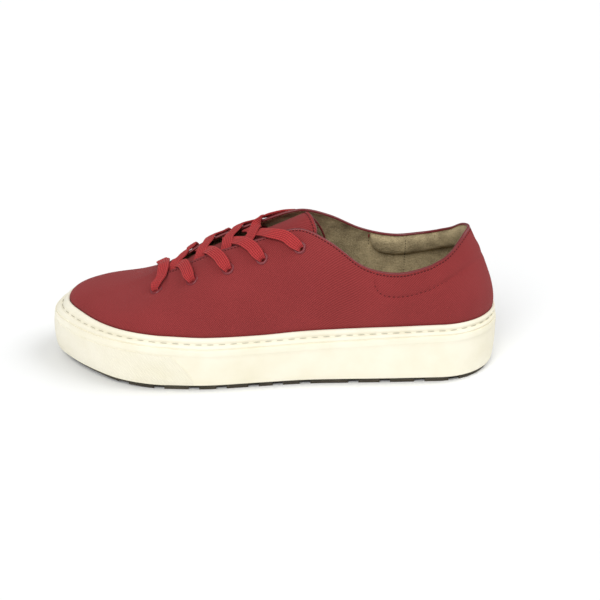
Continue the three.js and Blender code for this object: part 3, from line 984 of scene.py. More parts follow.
@dataclass
class Upper:
    """Canvas shell, lining, collar pad, folded piping and the seams between them."""

    last: Last
    pad: HeelPad = field(default_factory=HeelPad)
    around: int = 560
    canvas: float = 0.9  # thickness of the canvas
    lining_depth: float = 1.1  # where the lining starts, under the outer face
    piping: float = 1.0  # half width of the folded edge
    seam_below: float = 1.55  # stitch line under the top line
    piping_lift: float = 0.15
    piping_sides: int = 12
    stitch_pitch: float = 2.25
    top_stitch: Size = (0.82, 0.38, 0.28)
    pad_pitch: float = 3.0
    pad_stitch: Size = (0.85, 0.26, 0.2)
    inner_stitch: Size = (0.62, 0.24, 0.2)
    tack: Size = (1.8, 0.5, 0.4)
    eyelet_hole: float = 2.9
    punch_depth: float = 12.0
    dimple: float = 14.0  # the canvas dips towards an eyelet from this far away
    lining_seam_x: float = 88.5
    pad_top: float = 0.6  # the pad starts this far below the top line
    pad_short: float = 0.2  # and is this much shorter than its outline
    skin_thick: float = 0.35  # thickness of the pad along its edge
    pad_waves: float = 0.3

    # The dent along the pad's edge and the swells beside it: distance from the edge, width and
    # height. The dent fades towards the heel by its own share.
    pad_dent: tuple[float, float, float] = (0.0, 1.4, -0.7)
    pad_swells: tuple[tuple[float, float, float], ...] = ((-5.0, 4.0, 0.5), (4.5, 3.0, 0.2))
    dent_fade: float = 0.85

    def relief(self, ring: float, up: float) -> float:
        """How far the canvas stands in front of the last's own face.

        Args:
            ring: place on the ring.
            up: share of the way up.

        Returns:
            The distance in millimetres, less than 0 in a dent.
        """
        section = self.last.section(ring)
        along = min(ring, FULL_RING - ring)
        below = section.below(up)
        edge = self.pad.lower_edge(ring)
        height = 0.0
        if edge > 0:
            slope = self.pad.lower_edge(ring + 0.5) - self.pad.lower_edge(ring - 0.5)
            distance = (below - edge) / math.hypot(1.0, min(abs(slope), 6.0))
            fade = 1 - self.dent_fade * ease((along - BODY_RING) / (HALF_RING - BODY_RING))
            for middle, width, amount in self.pad_swells:
                height += amount * hump(distance - middle, width)
            middle, width, amount = self.pad_dent
            height += amount * fade * hump(distance - middle, width)
        height -= 0.3 * hump(below - self.seam_below, 0.7)
        for place, share in EYELET_PLACES:
            near = math.hypot(along - place, (up - share) * section.lengths[-1])
            if near < self.dimple:
                height -= 0.45 * hump(near, 4.5)
        height -= 0.5 * hump(up * section.lengths[-1], 1.6)
        return height + self.creases(along, ring <= HALF_RING, below)

    @staticmethod
    def creases(along: float, lateral: bool, below: float) -> float:
        """Soft troughs and ridges of the cloth, at listed places.

        Args:
            along: distance from the toe tip on the ring.
            lateral: which side.
            below: length of cloth below the top line.

        Returns:
            Height in millimetres.
        """
        height = 0.0
        for middle, depth, lean, width, reach, amount in CREASES[lateral]:
            across = (along - middle) + lean * (below - depth)
            height += amount * hump(across, width) * hump(below - depth, reach)
        return height

    def wall(self, section: Section, up: float, depth: float) -> Vector:
        """Point of the wall, under its relief, in metres."""
        relief = self.relief(section.ring, up) if depth < self.canvas else 0.0
        return section.place(*section.face(up, depth - relief))

    def sections(self) -> list[Section]:
        """Sections evenly round the ring."""
        return [self.last.section(FULL_RING * index / self.around) for index in range(self.around)]

    def shell(
        self, name: str, finish: Finish, outer: float, inner: float, rows: Sequence[float]
    ) -> bpy.types.Object:
        """Makes one layer of the wall, all round.

        Args:
            name: the piece's name.
            finish: its finish.
            outer: depth of its outer face.
            inner: depth of its inner face.
            rows: shares of the way up of its rows, rising.

        Returns:
            The piece.
        """
        stations = [(up, outer) for up in rows] + [(up, inner) for up in reversed(rows)]
        lines = [[self.wall(section, *station) for station in stations] for section in self.sections()]

        def weave(first: int, second: int) -> Flat:
            """Place on the flat cloth; the last section stays on its own side of the heel."""
            ring = FULL_RING * first / self.around
            nudge = ring - MM if first == self.around else ring
            return self.last.cloth(nudge, stations[second % len(stations)][0])

        return to_object(band_mesh(lines, weave, closed=True), name, finish, crease=50)

    def punch(self, piece: bpy.types.Object) -> None:
        """Cuts the eyelets' holes through a layer of the wall.

        Args:
            piece: the layer.
        """
        mesh = bmesh.new()
        for side in Side:
            for along, up in EYELET_PLACES:
                point, normal = self.last.face_at(side.ring(along), up)
                turn = normal.to_track_quat("Z", "X").to_matrix().to_4x4()
                matrix = Matrix.Translation(point * MM) @ turn
                bmesh.ops.create_cone(
                    mesh,
                    cap_ends=True,
                    segments=24,
                    radius1=self.eyelet_hole * MM,
                    radius2=self.eyelet_hole * MM,
                    depth=self.punch_depth * MM,
                    matrix=matrix,
                )
        data = bpy.data.meshes.new("punch")
        mesh.to_mesh(data)
        mesh.free()
        tool = bpy.data.objects.new("punch", data)
        bpy.context.scene.collection.objects.link(tool)
        cut = piece.modifiers.new("holes", "BOOLEAN")
        cut.object = tool
        cut.operation = "DIFFERENCE"
        cut.solver = "EXACT"
        graph = bpy.context.evaluated_depsgraph_get()
        holed = bpy.data.meshes.new_from_object(piece.evaluated_get(graph))
        piece.modifiers.clear()
        piece.data = holed
        bpy.data.objects.remove(tool)
        bpy.data.meshes.remove(data)

    def build_canvas(self) -> bpy.types.Object:
        """Canvas: the outer layer, from its hidden foot to the top line."""
        rows = [-1.0, -0.5, -0.1, *(index / 54 for index in range(55))]
        piece = self.shell("canvas_shell", CANVAS, 0.0, self.canvas, rows)
        self.punch(piece)
        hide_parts("upper")
        return piece

    def build_lining(self) -> bpy.types.Object:
        """Lining: the inner layer, seen through the collar."""
        rows = [-1.0, -0.3, *(index / 16 for index in range(17))]
        piece = self.shell("lining_shell", LINING, self.lining_depth, UPPER_WALL, rows)
        self.punch(piece)
        return piece

    def build_piping(self) -> bpy.types.Object:
        """Piping: the canvas folded over the top edge, as a soft roll."""
        lines = []
        for section in self.sections():
            r, z = section.face(1.0, UPPER_WALL / 2)
            loop = []
            for index in range(self.piping_sides):
                angle = math.tau * index / self.piping_sides
                across, height = math.cos(angle) * self.piping, math.sin(angle) * self.piping
                loop.append(section.place(r + across, z + self.piping_lift + height))
            lines.append(loop)

        def weave(first: int, second: int) -> Flat:
            """Place on the cloth, wound round the roll."""
            return FULL_RING * first / self.around, second * 0.7

        return to_object(band_mesh(lines, weave, closed=True), "top_piping", PIPING)

    def seam_place(self, ring: float, below: float, lift: float) -> tuple[Vector, Vector]:
        """Point on the canvas at a length of cloth below the top line.

        Args:
            ring: place on the ring.
            below: length of cloth below the top line.
            lift: height over the canvas.

        Returns:
            The point in millimetres, and the outward normal there.
        """
        section = self.last.section(ring)
        up = section.up_at(below)
        return self.last.face_at(ring, up, lift + self.relief(section.ring, up))

    def build_top_stitches(self) -> bpy.types.Object:
        """Stitches all round, just below the piping."""
        steps = 700
        points = []
        for index in range(steps + 1):
            points.append(self.seam_place(FULL_RING * index / steps, self.seam_below, 0.08)[0])
        spaced = spread(points, self.stitch_pitch)
        places = [(point, along, self.normal_near(point)) for point, along in spaced]
        return stitch_row("top_stitches", places, self.top_stitch, THREAD)

    def normal_near(self, point: Vector) -> Vector:
        """Rough outward normal of the wall near its top edge: out from the long axis, and up."""
        return (self.last.outwards(point) + Vector((0.0, 0.0, 0.45))).normalized()

    def build_pad_stitches(self) -> bpy.types.Object:
        """Stitches round the pad, sunk in their dent."""
        points = []
        for ring, depth in self.pad.outline():
            sunk = ease((min(ring, FULL_RING - ring) - BODY_RING + 30) / 60)
            points.append(self.seam_place(ring, depth, 0.02 - 0.22 * sunk)[0])
        spaced = spread(points, self.pad_pitch)
        places = [(point, along, self.normal_near(point)) for point, along in spaced]
        return stitch_row("pad_stitches", places, self.pad_stitch, THREAD)

    def pad_thick(self, ring: float, down: float) -> float:
        """Thickness of the pad.

        Args:
            ring: place on the ring.
            down: share of the way down the pad.

        Returns:
            The thickness in millimetres, and 0 where there is no pad.
        """
        edge = self.pad.lower_edge(ring)
        if edge < 0 or not 0 <= down <= 1:
            return 0.0
        fullness = (1 - abs(2 * down - 1) ** 2.6) ** 0.6
        swell = self.pad.swell * fullness * ease(edge / 14)
        wave = self.pad_waves * noise.noise(Vector((ring / 14, down * 2, 0.0))) * fullness
        return self.skin_thick + swell + wave

    def pad_below(self, edge: float, down: float) -> float:
        """Length of cloth below the top line at a share of the way down the pad."""
        return self.pad_top + (edge - self.pad_short) * down

    def inside(self, ring: float, below: float, lift: float) -> Vector:
        """Point over the lining or the pad.

        Args:
            ring: place on the ring.
            below: length of cloth below the top line.
            lift: height over the lining or the pad.

        Returns:
            The point in millimetres.
        """
        section = self.last.section(ring)
        edge = self.pad.lower_edge(ring)
        length = self.pad_below(edge, 1.0) - self.pad_top
        thick = self.pad_thick(ring, (below - self.pad_top) / length) if edge > 1 else 0.0
        return section.place(*section.face(section.up_at(below), UPPER_WALL + thick + lift)) / MM

    def build_inner_seams(self) -> bpy.types.Object:
        """Seams inside: down the pad's front edge, and one across the lining behind it."""
        places = []
        for side in Side:
            ring = side.ring(self.pad.start - 0.4)
            front = [self.inside(ring, 1.5 + index, 0.1) for index in range(12)]
            ring = side.ring(TOE_RING + self.lining_seam_x - TOE_X)
            back = [self.inside(ring, 1.5 + 0.5 * index, 0.12) for index in range(76)]
            inwards = Vector((0.0, -side.value, 0.3)).normalized()
            for points, pitch in ((front, 2.4), (back, 1.9)):
                places += [(point, along, inwards) for point, along in spread(points, pitch)]
        return stitch_row("inner_seams", places, self.inner_stitch, INNER_THREAD)

    def build_tacks(self) -> bpy.types.Object:
        """Short red bars sewn over the top of the pad's front seams."""
        places = []
        for side in Side:
            ring = side.ring(self.pad.start - 0.4)
            top, bottom = self.inside(ring, 1.8, 0.3), self.inside(ring, 5.2, 0.3)
            inwards = Vector((0.0, -side.value, 0.3)).normalized()
            places.append(((top + bottom) / 2, bottom - top, inwards))
        return stitch_row("pad_tacks", places, self.tack, TACK)

    def build_pad(self) -> bpy.types.Object:
        """Foam pad inside the collar: puffy, pressed down along its stitched edge."""
        steps, rows = 220, 18
        lines = []
        for first in range(steps + 1):
            share = first / steps
            swing = 0.5 - 0.5 * math.cos(math.pi * share)
            ring = mix(self.pad.start + 0.6, FULL_RING - self.pad.start - 0.6, swing)
            section = self.last.section(ring)
            edge = self.pad.lower_edge(ring)
            front = []
            for index in range(rows + 1):
                down = index / rows
                up = section.up_at(self.pad_below(edge, down))
                thick = self.pad_thick(ring, down)
                front.append(section.place(*section.face(up, UPPER_WALL + thick)))
            back = []
            for index in range(rows, -1, -1):
                up = section.up_at(self.pad_below(edge, index / rows))
                back.append(section.place(*section.face(up, UPPER_WALL - 0.1)))
            lines.append(front + back)

        def weave(first: int, second: int) -> Flat:
            """Place on the pad's cloth."""
            return first * 1.2, second * 0.9

        piece = to_object(band_mesh(lines, weave), "collar_pad", LINING, crease=70)
        return piece

    def build(self) -> list[bpy.types.Object]:
        """Makes every piece of the upper."""
        return [
            self.build_canvas(),
            self.build_lining(),
            self.build_piping(),
            self.build_pad(),
            self.build_top_stitches(),
            self.build_pad_stitches(),
            self.build_inner_seams(),
            self.build_tacks(),
        ]


# Eyelet pairs from the toe up: place along the ring, and share of the way up the section.
EYELET_PLACES = ((80.2, 0.72), (118.5, 0.7), (142.2, 0.71), (164.2, 0.73), (188.8, 0.76))

# Creases of each side: place along the ring, depth below the top line, lean, half width, half
# length, and height of a ridge or depth of a trough.
CREASES = {
    True: (
        (104.0, 26.0, 0.35, 5.0, 13.0, -0.35),
        (116.0, 32.0, 0.25, 6.0, 14.0, 0.30),
        (205.0, 30.0, -0.5, 9.0, 16.0, -0.45),
        (224.0, 26.0, -0.4, 8.0, 15.0, 0.40),
        (262.0, 28.0, 0.2, 12.0, 6.0, -0.40),
        (292.0, 26.0, 0.1, 14.0, 7.0, 0.45),
    ),
    False: (
        (102.0, 24.0, 0.35, 5.0, 12.0, -0.35),
        (118.0, 28.0, 0.25, 6.0, 12.0, 0.30),
        (206.0, 28.0, -0.5, 9.0, 15.0, -0.45),
        (226.0, 24.0, -0.4, 8.0, 14.0, 0.40),
        (264.0, 28.0, 0.2, 12.0, 6.0, -0.40),
    ),
}


# ---- Sole ----------------------------------------------------------------------------------


@dataclass
class Sole:
    """Cream cup with its stitched strip and ribbed toe, brown tread and inside sock."""

    last: Last
    around: int = 480
    tread: float = 4.0  # height of the tread sheet under the cup
    wall_lean: float = 1.4
    bulge: float = 0.65  # the wall is widest at this share of the rim's height
    rim_inset: float = 0.5
    toe_rim_inset: float = 0.25
    tread_inset: float = 3.8  # the tread sheet stands back from the widest line
    grooves: tuple[float, ...] = (-100, -76, -53, -35, -14, 2, 20, 52, 73, 96, 119)
    groove_width: float = 7.0
    rim_band: float = 5.2  # height of the round band under the groove
    band_stand: float = 0.45
    shade_block_overlap: float = 0.4  # the painted-shade blocks reach into each lug beside them
    shade_block_low: float = 0.7
    shade_block_high: float = 2.5
    shade_block_back: float = 1.6  # they end this far in from the tread's edge
    bumper_length: float = 18.0  # behind the toe centre, at the foot of the wall
    bumper_slant: float = 15.0  # less than that at the rim

    # The round band's section: share of its height, and of how far it stands out.
    band_shape: tuple[Flat, ...] = ((0.07, 0.3), (0.14, 0.85), (0.3, 1), (0.6, 1), (0.85, 0.8), (0.95, 0.35))
    stitch_pitch: float = 7.6
    stitch: Size = (2.4, 0.27, 0.3)
    stitch_sunk: float = 0.42  # how far the stitches lie under the strip's plain face
    channel: float = 0.54  # middle of the stitch channel across the strip
    bumper_stand: float = 0.4

    # The strip's own relief: share of the way from the upper to the rim, and height.
    strip_shape: tuple[Flat, ...] = (
        (0.0, -0.25),
        (0.012, 0.3),
        (0.05, 0.75),
        (0.12, 1.05),
        (0.21, 1.08),
        (0.31, 0.85),
        (0.39, 0.42),
        (0.44, -0.05),
        (0.475, -0.5),
        (0.54, -0.65),
        (0.605, -0.5),
        (0.635, 0.0),
        (0.68, 0.3),
        (0.8, 0.4),
        (0.89, 0.22),
        (0.93, -0.1),
        (0.95, -0.62),
        (0.99, -0.62),
    )

    def wall_r(self, section: Section, z: float) -> float:
        """Distance of the cup's wall from the axis, on a bow through three points.

        Args:
            section: the section.
            z: height on the wall.

        Returns:
            The distance.
        """
        low = section.underside(section.edge) + self.tread
        middle = self.bulge * section.rim
        high = section.rim
        at_low = -self.wall_lean
        at_high = -self.rim_inset - self.toe_rim_inset * section.lift
        below = (z - middle) * (z - high) / ((low - middle) * (low - high))
        above = (z - low) * (z - middle) / ((high - low) * (high - middle))
        return section.edge + at_low * below + at_high * above

    def strip_point(self, section: Section, share: float, height: float) -> Flat:
        """Point of the strip between the upper and the rim.

        Args:
            section: the section.
            share: share of the way from the upper to the rim.
            height: height over the strip's plain face.

        Returns:
            Distance from the axis and height.
        """
        start = (section.foot_r + 0.1, section.foot)
        end = (self.wall_r(section, section.rim), section.rim)
        length = math.dist(start, end)
        along = ((end[0] - start[0]) / length, (end[1] - start[1]) / length)
        r = mix(start[0], end[0], share) - along[1] * height
        return r, mix(start[1], end[1], share) + along[0] * height

    def outline(self, section: Section) -> list[Flat]:
        """Outline of the cup from the axis, under the sole, up the wall and back to the axis.

        Args:
            section: the section.

        Returns:
            Its points.
        """
        base = self.wall_r(section, section.underside(section.edge) + self.tread)
        points = []
        for share in (0.0, 0.25, 0.5, 0.75, 0.9):
            r = base * share
            points.append((r, section.underside(r) + self.tread))
        bottom = section.underside(base) + self.tread
        points += [(base - 0.5, bottom), (base - 0.12, bottom + 0.08), (base, bottom + 0.4)]
        band_low = section.rim - self.rim_band
        steps = 9
        for index in range(1, steps + 1):
            z = mix(bottom + 0.4, band_low, index / steps)
            points.append((self.wall_r(section, z), z))
        for share, stand in self.band_shape:
            z = mix(band_low, section.rim, share)
            points.append((self.wall_r(section, z) + stand * self.band_stand, z))
        for share, height in reversed(self.strip_shape):
            points.append(self.strip_point(section, share, height))
        inner = section.foot_r + 0.05
        points.append((inner, section.foot - 1.5))
        for share in (1.0, 0.66, 0.33, 0.0):
            r = (inner - TUCK) * share
            points.append((r, section.floor(r)))
        return points

    def ring_piece(
        self, name: str, finish: Finish, outline: Callable[[Section], list[Flat]]
    ) -> bpy.types.Object:
        """Sweeps an outline that starts and ends on the axis round the ring.

        Args:
            name: the piece's name.
            finish: its finish.
            outline: gives the outline in a section.

        Returns:
            The piece.
        """
        sections = [self.last.section(FULL_RING * index / self.around) for index in range(self.around)]
        lines = [[section.place(*point) for point in outline(section)] for section in sections]
        lines.append(lines[0])
        count = len(lines[0])

        def place(first: int, second: int) -> Vector:
            """Point of the swept outline."""
            return lines[first][second]

        def weave(first: int, second: int) -> Flat:
            """Place along the ring and along the outline."""
            return FULL_RING * first / self.around, float(second)

        return to_object(grid_mesh(self.around, count - 1, place, weave), name, finish, crease=32)

    def build_cup(self) -> bpy.types.Object:
        """Cup: floor, wall, rim band, groove and strip in one moulding."""
        piece = self.ring_piece("sole_cup", CUP, self.outline)
        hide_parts("midsole")
        return piece

    def bumper_end(self, height: float) -> float:
        """Ring place where the toe's ribs end, at a share of the way up the wall."""
        return TOE_RING + self.bumper_length - self.bumper_slant * height**1.7

    def build_bumper(self) -> bpy.types.Object:
        """Toe bumper: a thin ribbed skin on the wall round the toe."""
        steps, rows = 260, 12
        lines = []
        for first in range(steps + 1):
            outer, inner = [], []
            for index in range(rows + 1):
                height = index / rows
                end = self.bumper_end(height)
                section = self.last.section(mix(-end, end, first / steps))
                low = section.underside(section.edge) + self.tread + 0.9
                z = mix(low, section.rim - self.rim_band - 0.25, height)
                rim = min(first, steps - first, index, rows - index)
                stand = self.bumper_stand if rim > 0 else self.bumper_stand * 0.4
                r = self.wall_r(section, z)
                outer.append(section.place(r + stand, z))
                inner.append(section.place(r - 0.3, z))
            lines.append(outer + inner[::-1])

        def weave(first: int, second: int) -> Flat:
            """Place along the toe and up the wall."""
            row = second if second <= rows else 2 * rows + 1 - second
            height = clamp(row / rows)
            end = self.bumper_end(height)
            return mix(-end, end, clamp((first - 1) / steps)), height * 20

        return to_object(band_mesh(lines, weave), "toe_bumper", BUMPER, crease=30)

    def build_stitches(self) -> bpy.types.Object:
        """Long stitches in the strip's channel."""
        steps = 900
        points = []
        for index in range(steps + 1):
            section = self.last.section(FULL_RING * index / steps)
            points.append(section.place(*self.strip_point(section, self.channel, -self.stitch_sunk)) / MM)
        up = Vector((0.0, 0.0, 1.0))
        spaced = spread(points, self.stitch_pitch)
        places = [(point, along, (self.last.outwards(point) + up).normalized()) for point, along in spaced]
        # The thread's grey is partly painted shade of the channel.
        return stitch_row("sole_stitches", places, self.stitch, SOLE_THREAD)

    def build_sock(self) -> bpy.types.Object:
        """Sock: the cloth-covered board inside, dished to the floor."""

        def outline(section: Section) -> list[Flat]:
            """Outline of the sock, up its middle, round its edge and back."""
            radius = section.foot_r - TUCK - UPPER_WALL - 2 * GAP
            points = [(radius * share, section.floor(radius * share) + GAP) for share in (0, 0.5, 1)]
            points.append((radius + 0.15, section.floor(radius) + 2.0))
            points += [
                (radius * share - (0.5 if share == 1 else 0), section.floor(radius * share) + 4 + GAP)
                for share in (1, 0.9, 0.75, 0.5, 0.25, 0)
            ]
            return points

        piece = self.ring_piece("sock", LINING, outline)
        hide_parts("insole")
        return piece

    def build_groove_shade(self) -> bpy.types.Object:
        """Painted shade: black blocks that close the tread's grooves, a little in from its edge."""
        mesh = bmesh.new()
        half = self.groove_width / 2 + self.shade_block_overlap
        for middle in self.grooves:
            for vert in bmesh.ops.create_cube(mesh, size=2.0)["verts"]:
                x = middle + vert.co.x * half
                side = Side.LATERAL if vert.co.y < 0 else Side.MEDIAL
                z = self.shade_block_low if vert.co.z < 0 else self.shade_block_high
                vert.co = (Vector((x, self.shade_block_end(x, side), z)) + self.last.shift) * MM
        return to_object(mesh, "tread_groove_shade", GROOVE_SHADE)

    def shade_block_end(self, x: float, side: Side) -> float:
        """Where a painted-shade block ends across the shoe.

        Args:
            x: place along the shoe.
            side: which end.

        Returns:
            Distance from the middle of the section table's frame.
        """
        body_x = clamp(x, TOE_X, HEEL_X)
        section = self.last.section(side.ring(TOE_RING + body_x - TOE_X))
        radius = section.edge - self.tread_inset - self.shade_block_back
        half = math.sqrt(radius**2 - (x - body_x) ** 2)
        return self.last.axis_y(body_x) + side.value * half

    def build(self, tread: bpy.types.Object) -> list[bpy.types.Object]:
        """Makes every piece of the sole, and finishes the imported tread.

        Args:
            tread: the tread's own node, whose shape stays.

        Returns:
            The pieces.
        """
        tread.data.materials.clear()
        tread.data.materials.append(TREAD.material())
        return [
            self.build_cup(),
            self.build_bumper(),
            self.build_stitches(),
            self.build_groove_shade(),
            self.build_sock(),
        ]


# ---- Tongue --------------------------------------------------------------------------------


@dataclass
class Tongue:
    """Bowed tongue: canvas face, khaki lining, folded edge and a row of stitches."""

    last: Last
    face_thick: float = 1.1
    lining_thick: float = 1.1
    along: int = 90
    across: int = 28
    start: float = -90.0

    # Place along the shoe, height on the axis, half width, how far the edges hang below it, and
    # how much lower the medial half droops.
    rows: tuple[tuple[float, ...], ...] = (
        (-90.0, 54.2, 19.0, 4.0, 0.0),
        (-71.0, 61.3, 21.0, 5.5, 0.0),
        (-45.0, 76.2, 24.0, 7.0, 0.0),
        (-10.0, 89.4, 23.0, 8.0, 0.0),
        (14.0, 101.2, 21.0, 11.0, 4.0),
        (25.0, 106.6, 19.0, 15.0, 18.0),
        (36.0, 109.5, 18.0, 20.0, 22.0),
    )
    droop_start: float = 0.25
    edge_radius: float = 0.75
    edge_from: float = 0.25  # the edge roll starts at this share of the length
    edge_steps: int = 60
    seam_at: float = 0.985  # share of the length at which the stitches cross
    seam_width: float = 0.94  # share of the width that they cross
    stitch_pitch: float = 2.3
    stitch: Size = (0.95, 0.36, 0.26)

    def value(self, column: int, x: float) -> float:
        """Smooth value of a column of the rows."""
        return smooth([row[0] for row in self.rows], [row[column] for row in self.rows], x)

    def end(self, share: float) -> float:
        """Where the tongue ends, across from -1 on the lateral edge to 1 on the medial."""
        return 20.6 + 6.4 * clamp(0.3 - share) ** 1.2 + 13.5 * ease((share - 0.28) / 0.66)

    def point(self, length: float, share: float, depth: float) -> Vector:
        """Point of the tongue in metres.

        Args:
            length: 0 at the hidden end and 1 at the free one.
            share: across from -1 to 1.
            depth: below the face, in millimetres.

        Returns:
            The point.
        """
        x = mix(self.start, self.end(share), length)
        half = self.value(2, x)
        past = clamp((share - self.droop_start) / (1 - self.droop_start))
        z = self.value(1, x) - self.value(3, x) * share * share - self.value(4, x) * past**1.5
        slope = (2 * self.value(3, x) * share + 2 * self.value(4, x) * past**0.5) / half
        tilt = math.hypot(1.0, slope)
        y = self.last.axis_y(x) + half * share
        place = Vector((x, y - depth * slope / tilt, z - depth / tilt)) + self.last.shift
        return place * MM

    def layer(self, name: str, finish: Finish, upper: float, lower: float, stop: float) -> bpy.types.Object:
        """Makes one layer of the tongue.

        Args:
            name: the piece's name.
            finish: its finish.
            upper: depth of its upper face.
            lower: depth of its lower face.
            stop: share of the length at which it ends.

        Returns:
            The piece.
        """
        shares = [2 * index / self.across - 1 for index in range(self.across + 1)]
        lines = []
        for first in range(self.along + 1):
            length = stop * first / self.along
            face = [self.point(length, share, upper) for share in shares]
            back = [self.point(length, share, lower) for share in reversed(shares)]
            lines.append(face + back)

        def weave(first: int, second: int) -> Flat:
            """Place on the tongue's cloth."""
            share = min(second % (2 * len(shares)), 2 * len(shares) - 1 - second)
            return first * 1.26, share * 1.6

        return to_object(band_mesh(lines, weave), name, finish, crease=50)

    def build_edge(self) -> bpy.types.Object:
        """Folded edge: a thin roll along both sides and round the free end."""
        steps = self.edge_steps
        shares = [index / steps for index in range(steps + 1)]
        route = [(mix(self.edge_from, 1.0, share), -1.0) for share in shares[:-1]]
        route += [(1.0, 2 * share - 1) for share in shares]
        route += [(mix(1.0, self.edge_from, share), 1.0) for share in shares[1:]]
        depth = (self.face_thick + self.lining_thick) / 2
        centres = [self.point(length, share, depth) for length, share in route]
        sides, radius = 10, self.edge_radius * MM
        lines = []
        for index, centre in enumerate(centres):
            ahead = centres[min(index + 1, len(centres) - 1)] - centres[max(index - 1, 0)]
            across = ahead.cross(Vector((0, 0, 1))).normalized()
            up = across.cross(ahead).normalized()
            loop = []
            for number in range(sides):
                angle = math.tau * number / sides
                loop.append(centre + (across * math.cos(angle) + up * math.sin(angle)) * radius)
            lines.append(loop)

        def weave(first: int, second: int) -> Flat:
            """Place on the cloth, wound round the roll."""
            return first * 1.5, second * 0.8

        return to_object(band_mesh(lines, weave), "tongue_edge", PIPING)

    def build_stitches(self) -> bpy.types.Object:
        """Stitches across the free end, behind the fold."""
        points = []
        steps = 80
        for index in range(steps + 1):
            share = self.seam_width * (2 * index / steps - 1)
            points.append(self.point(self.seam_at, share, -0.05) / MM)
        up = Vector((0, -0.2, 1))
        places = [(point, along, up) for point, along in spread(points, self.stitch_pitch)]
        return stitch_row("tongue_stitches", places, self.stitch, THREAD)

    def build(self) -> list[bpy.types.Object]:
        """Makes every piece of the tongue."""
        face = self.layer("tongue_face", CANVAS, 0.0, self.face_thick, 1.0)
        depth = self.face_thick + 0.05
        lining = self.layer("tongue_lining", LINING, depth, depth + self.lining_thick, 0.995)
        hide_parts("tongue")
        return [face, lining, self.build_edge(), self.build_stitches()]


# ---- Eyelets and lace ----------------------------------------------------------------------


@dataclass
class Eyelets:
    """Ten painted rings, rolled over the canvas on the outside."""

    last: Last
    bore: float = 2.25
    barrel: float = 2.75
    flange: float = 4.3
    below: float = 2.6

    def build_one(self, side: Side, index: int) -> bpy.types.Object:
        """Spins one ring's outline at its place.

        Args:
            side: the shoe's side.
            index: 0 at the toe.

        Returns:
            The piece.
        """
        outline = [
            (self.bore, -self.below),
            (self.barrel, -self.below),
            (self.barrel, -0.1),
            (self.flange, -0.1),
            (self.flange + 0.12, 0.15),
            (self.flange - 0.1, 0.5),
            (self.flange - 0.6, 0.78),
            (mix(self.bore, self.flange, 0.45), 0.82),
            (self.bore + 0.3, 0.6),
            (self.bore, 0.15),
        ]
        mesh = bmesh.new()
        verts = [mesh.verts.new((r * MM, 0.0, z * MM)) for r, z in outline]
        edges = [mesh.edges.new((verts[at - 1], verts[at])) for at in range(len(verts))]
        bmesh.ops.spin(
            mesh,
            geom=verts + edges,
            cent=(0, 0, 0),
            axis=(0, 0, 1),
            angle=math.tau,
            steps=32,
            use_merge=True,
        )
        bmesh.ops.remove_doubles(mesh, verts=mesh.verts, dist=MERGE)
        along, up = EYELET_PLACES[index]
        point, normal = self.last.face_at(side.ring(along), up, -0.25)
        turn = normal.to_track_quat("Z", "X").to_matrix().to_4x4()
        matrix = Matrix.Translation(point * MM) @ turn
        bmesh.ops.transform(mesh, matrix=matrix, verts=mesh.verts)
        word = side.name.lower()
        piece = to_object(mesh, f"eyelet_ring_{word}_{index + 1}", ENAMEL)
        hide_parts(f"eyelet_{word}_{index + 1}")
        return piece

    def build(self) -> list[bpy.types.Object]:
        """Makes the ten rings."""
        return [self.build_one(side, index) for side in Side for index in range(len(EYELET_PLACES))]


@dataclass
class Stop:
    """A place that the lace passes: point in millimetres, facing and size of its section."""

    point: Vector
    facing: Vector
    width: float
    thick: float
    curl: float = 0.0  # how far its edges roll up into a gutter, from 0 to 1


@dataclass(frozen=True)
class Crossing:
    """Places along the shoe where two runs leave their edges, meet and land on the other ones."""

    leave: float
    meet: float
    far: float  # where the run on top lands, on the medial edge
    near: float  # where the run beneath lands, on the lateral edge
    slack: float  # how much higher than its edge the run on top lies


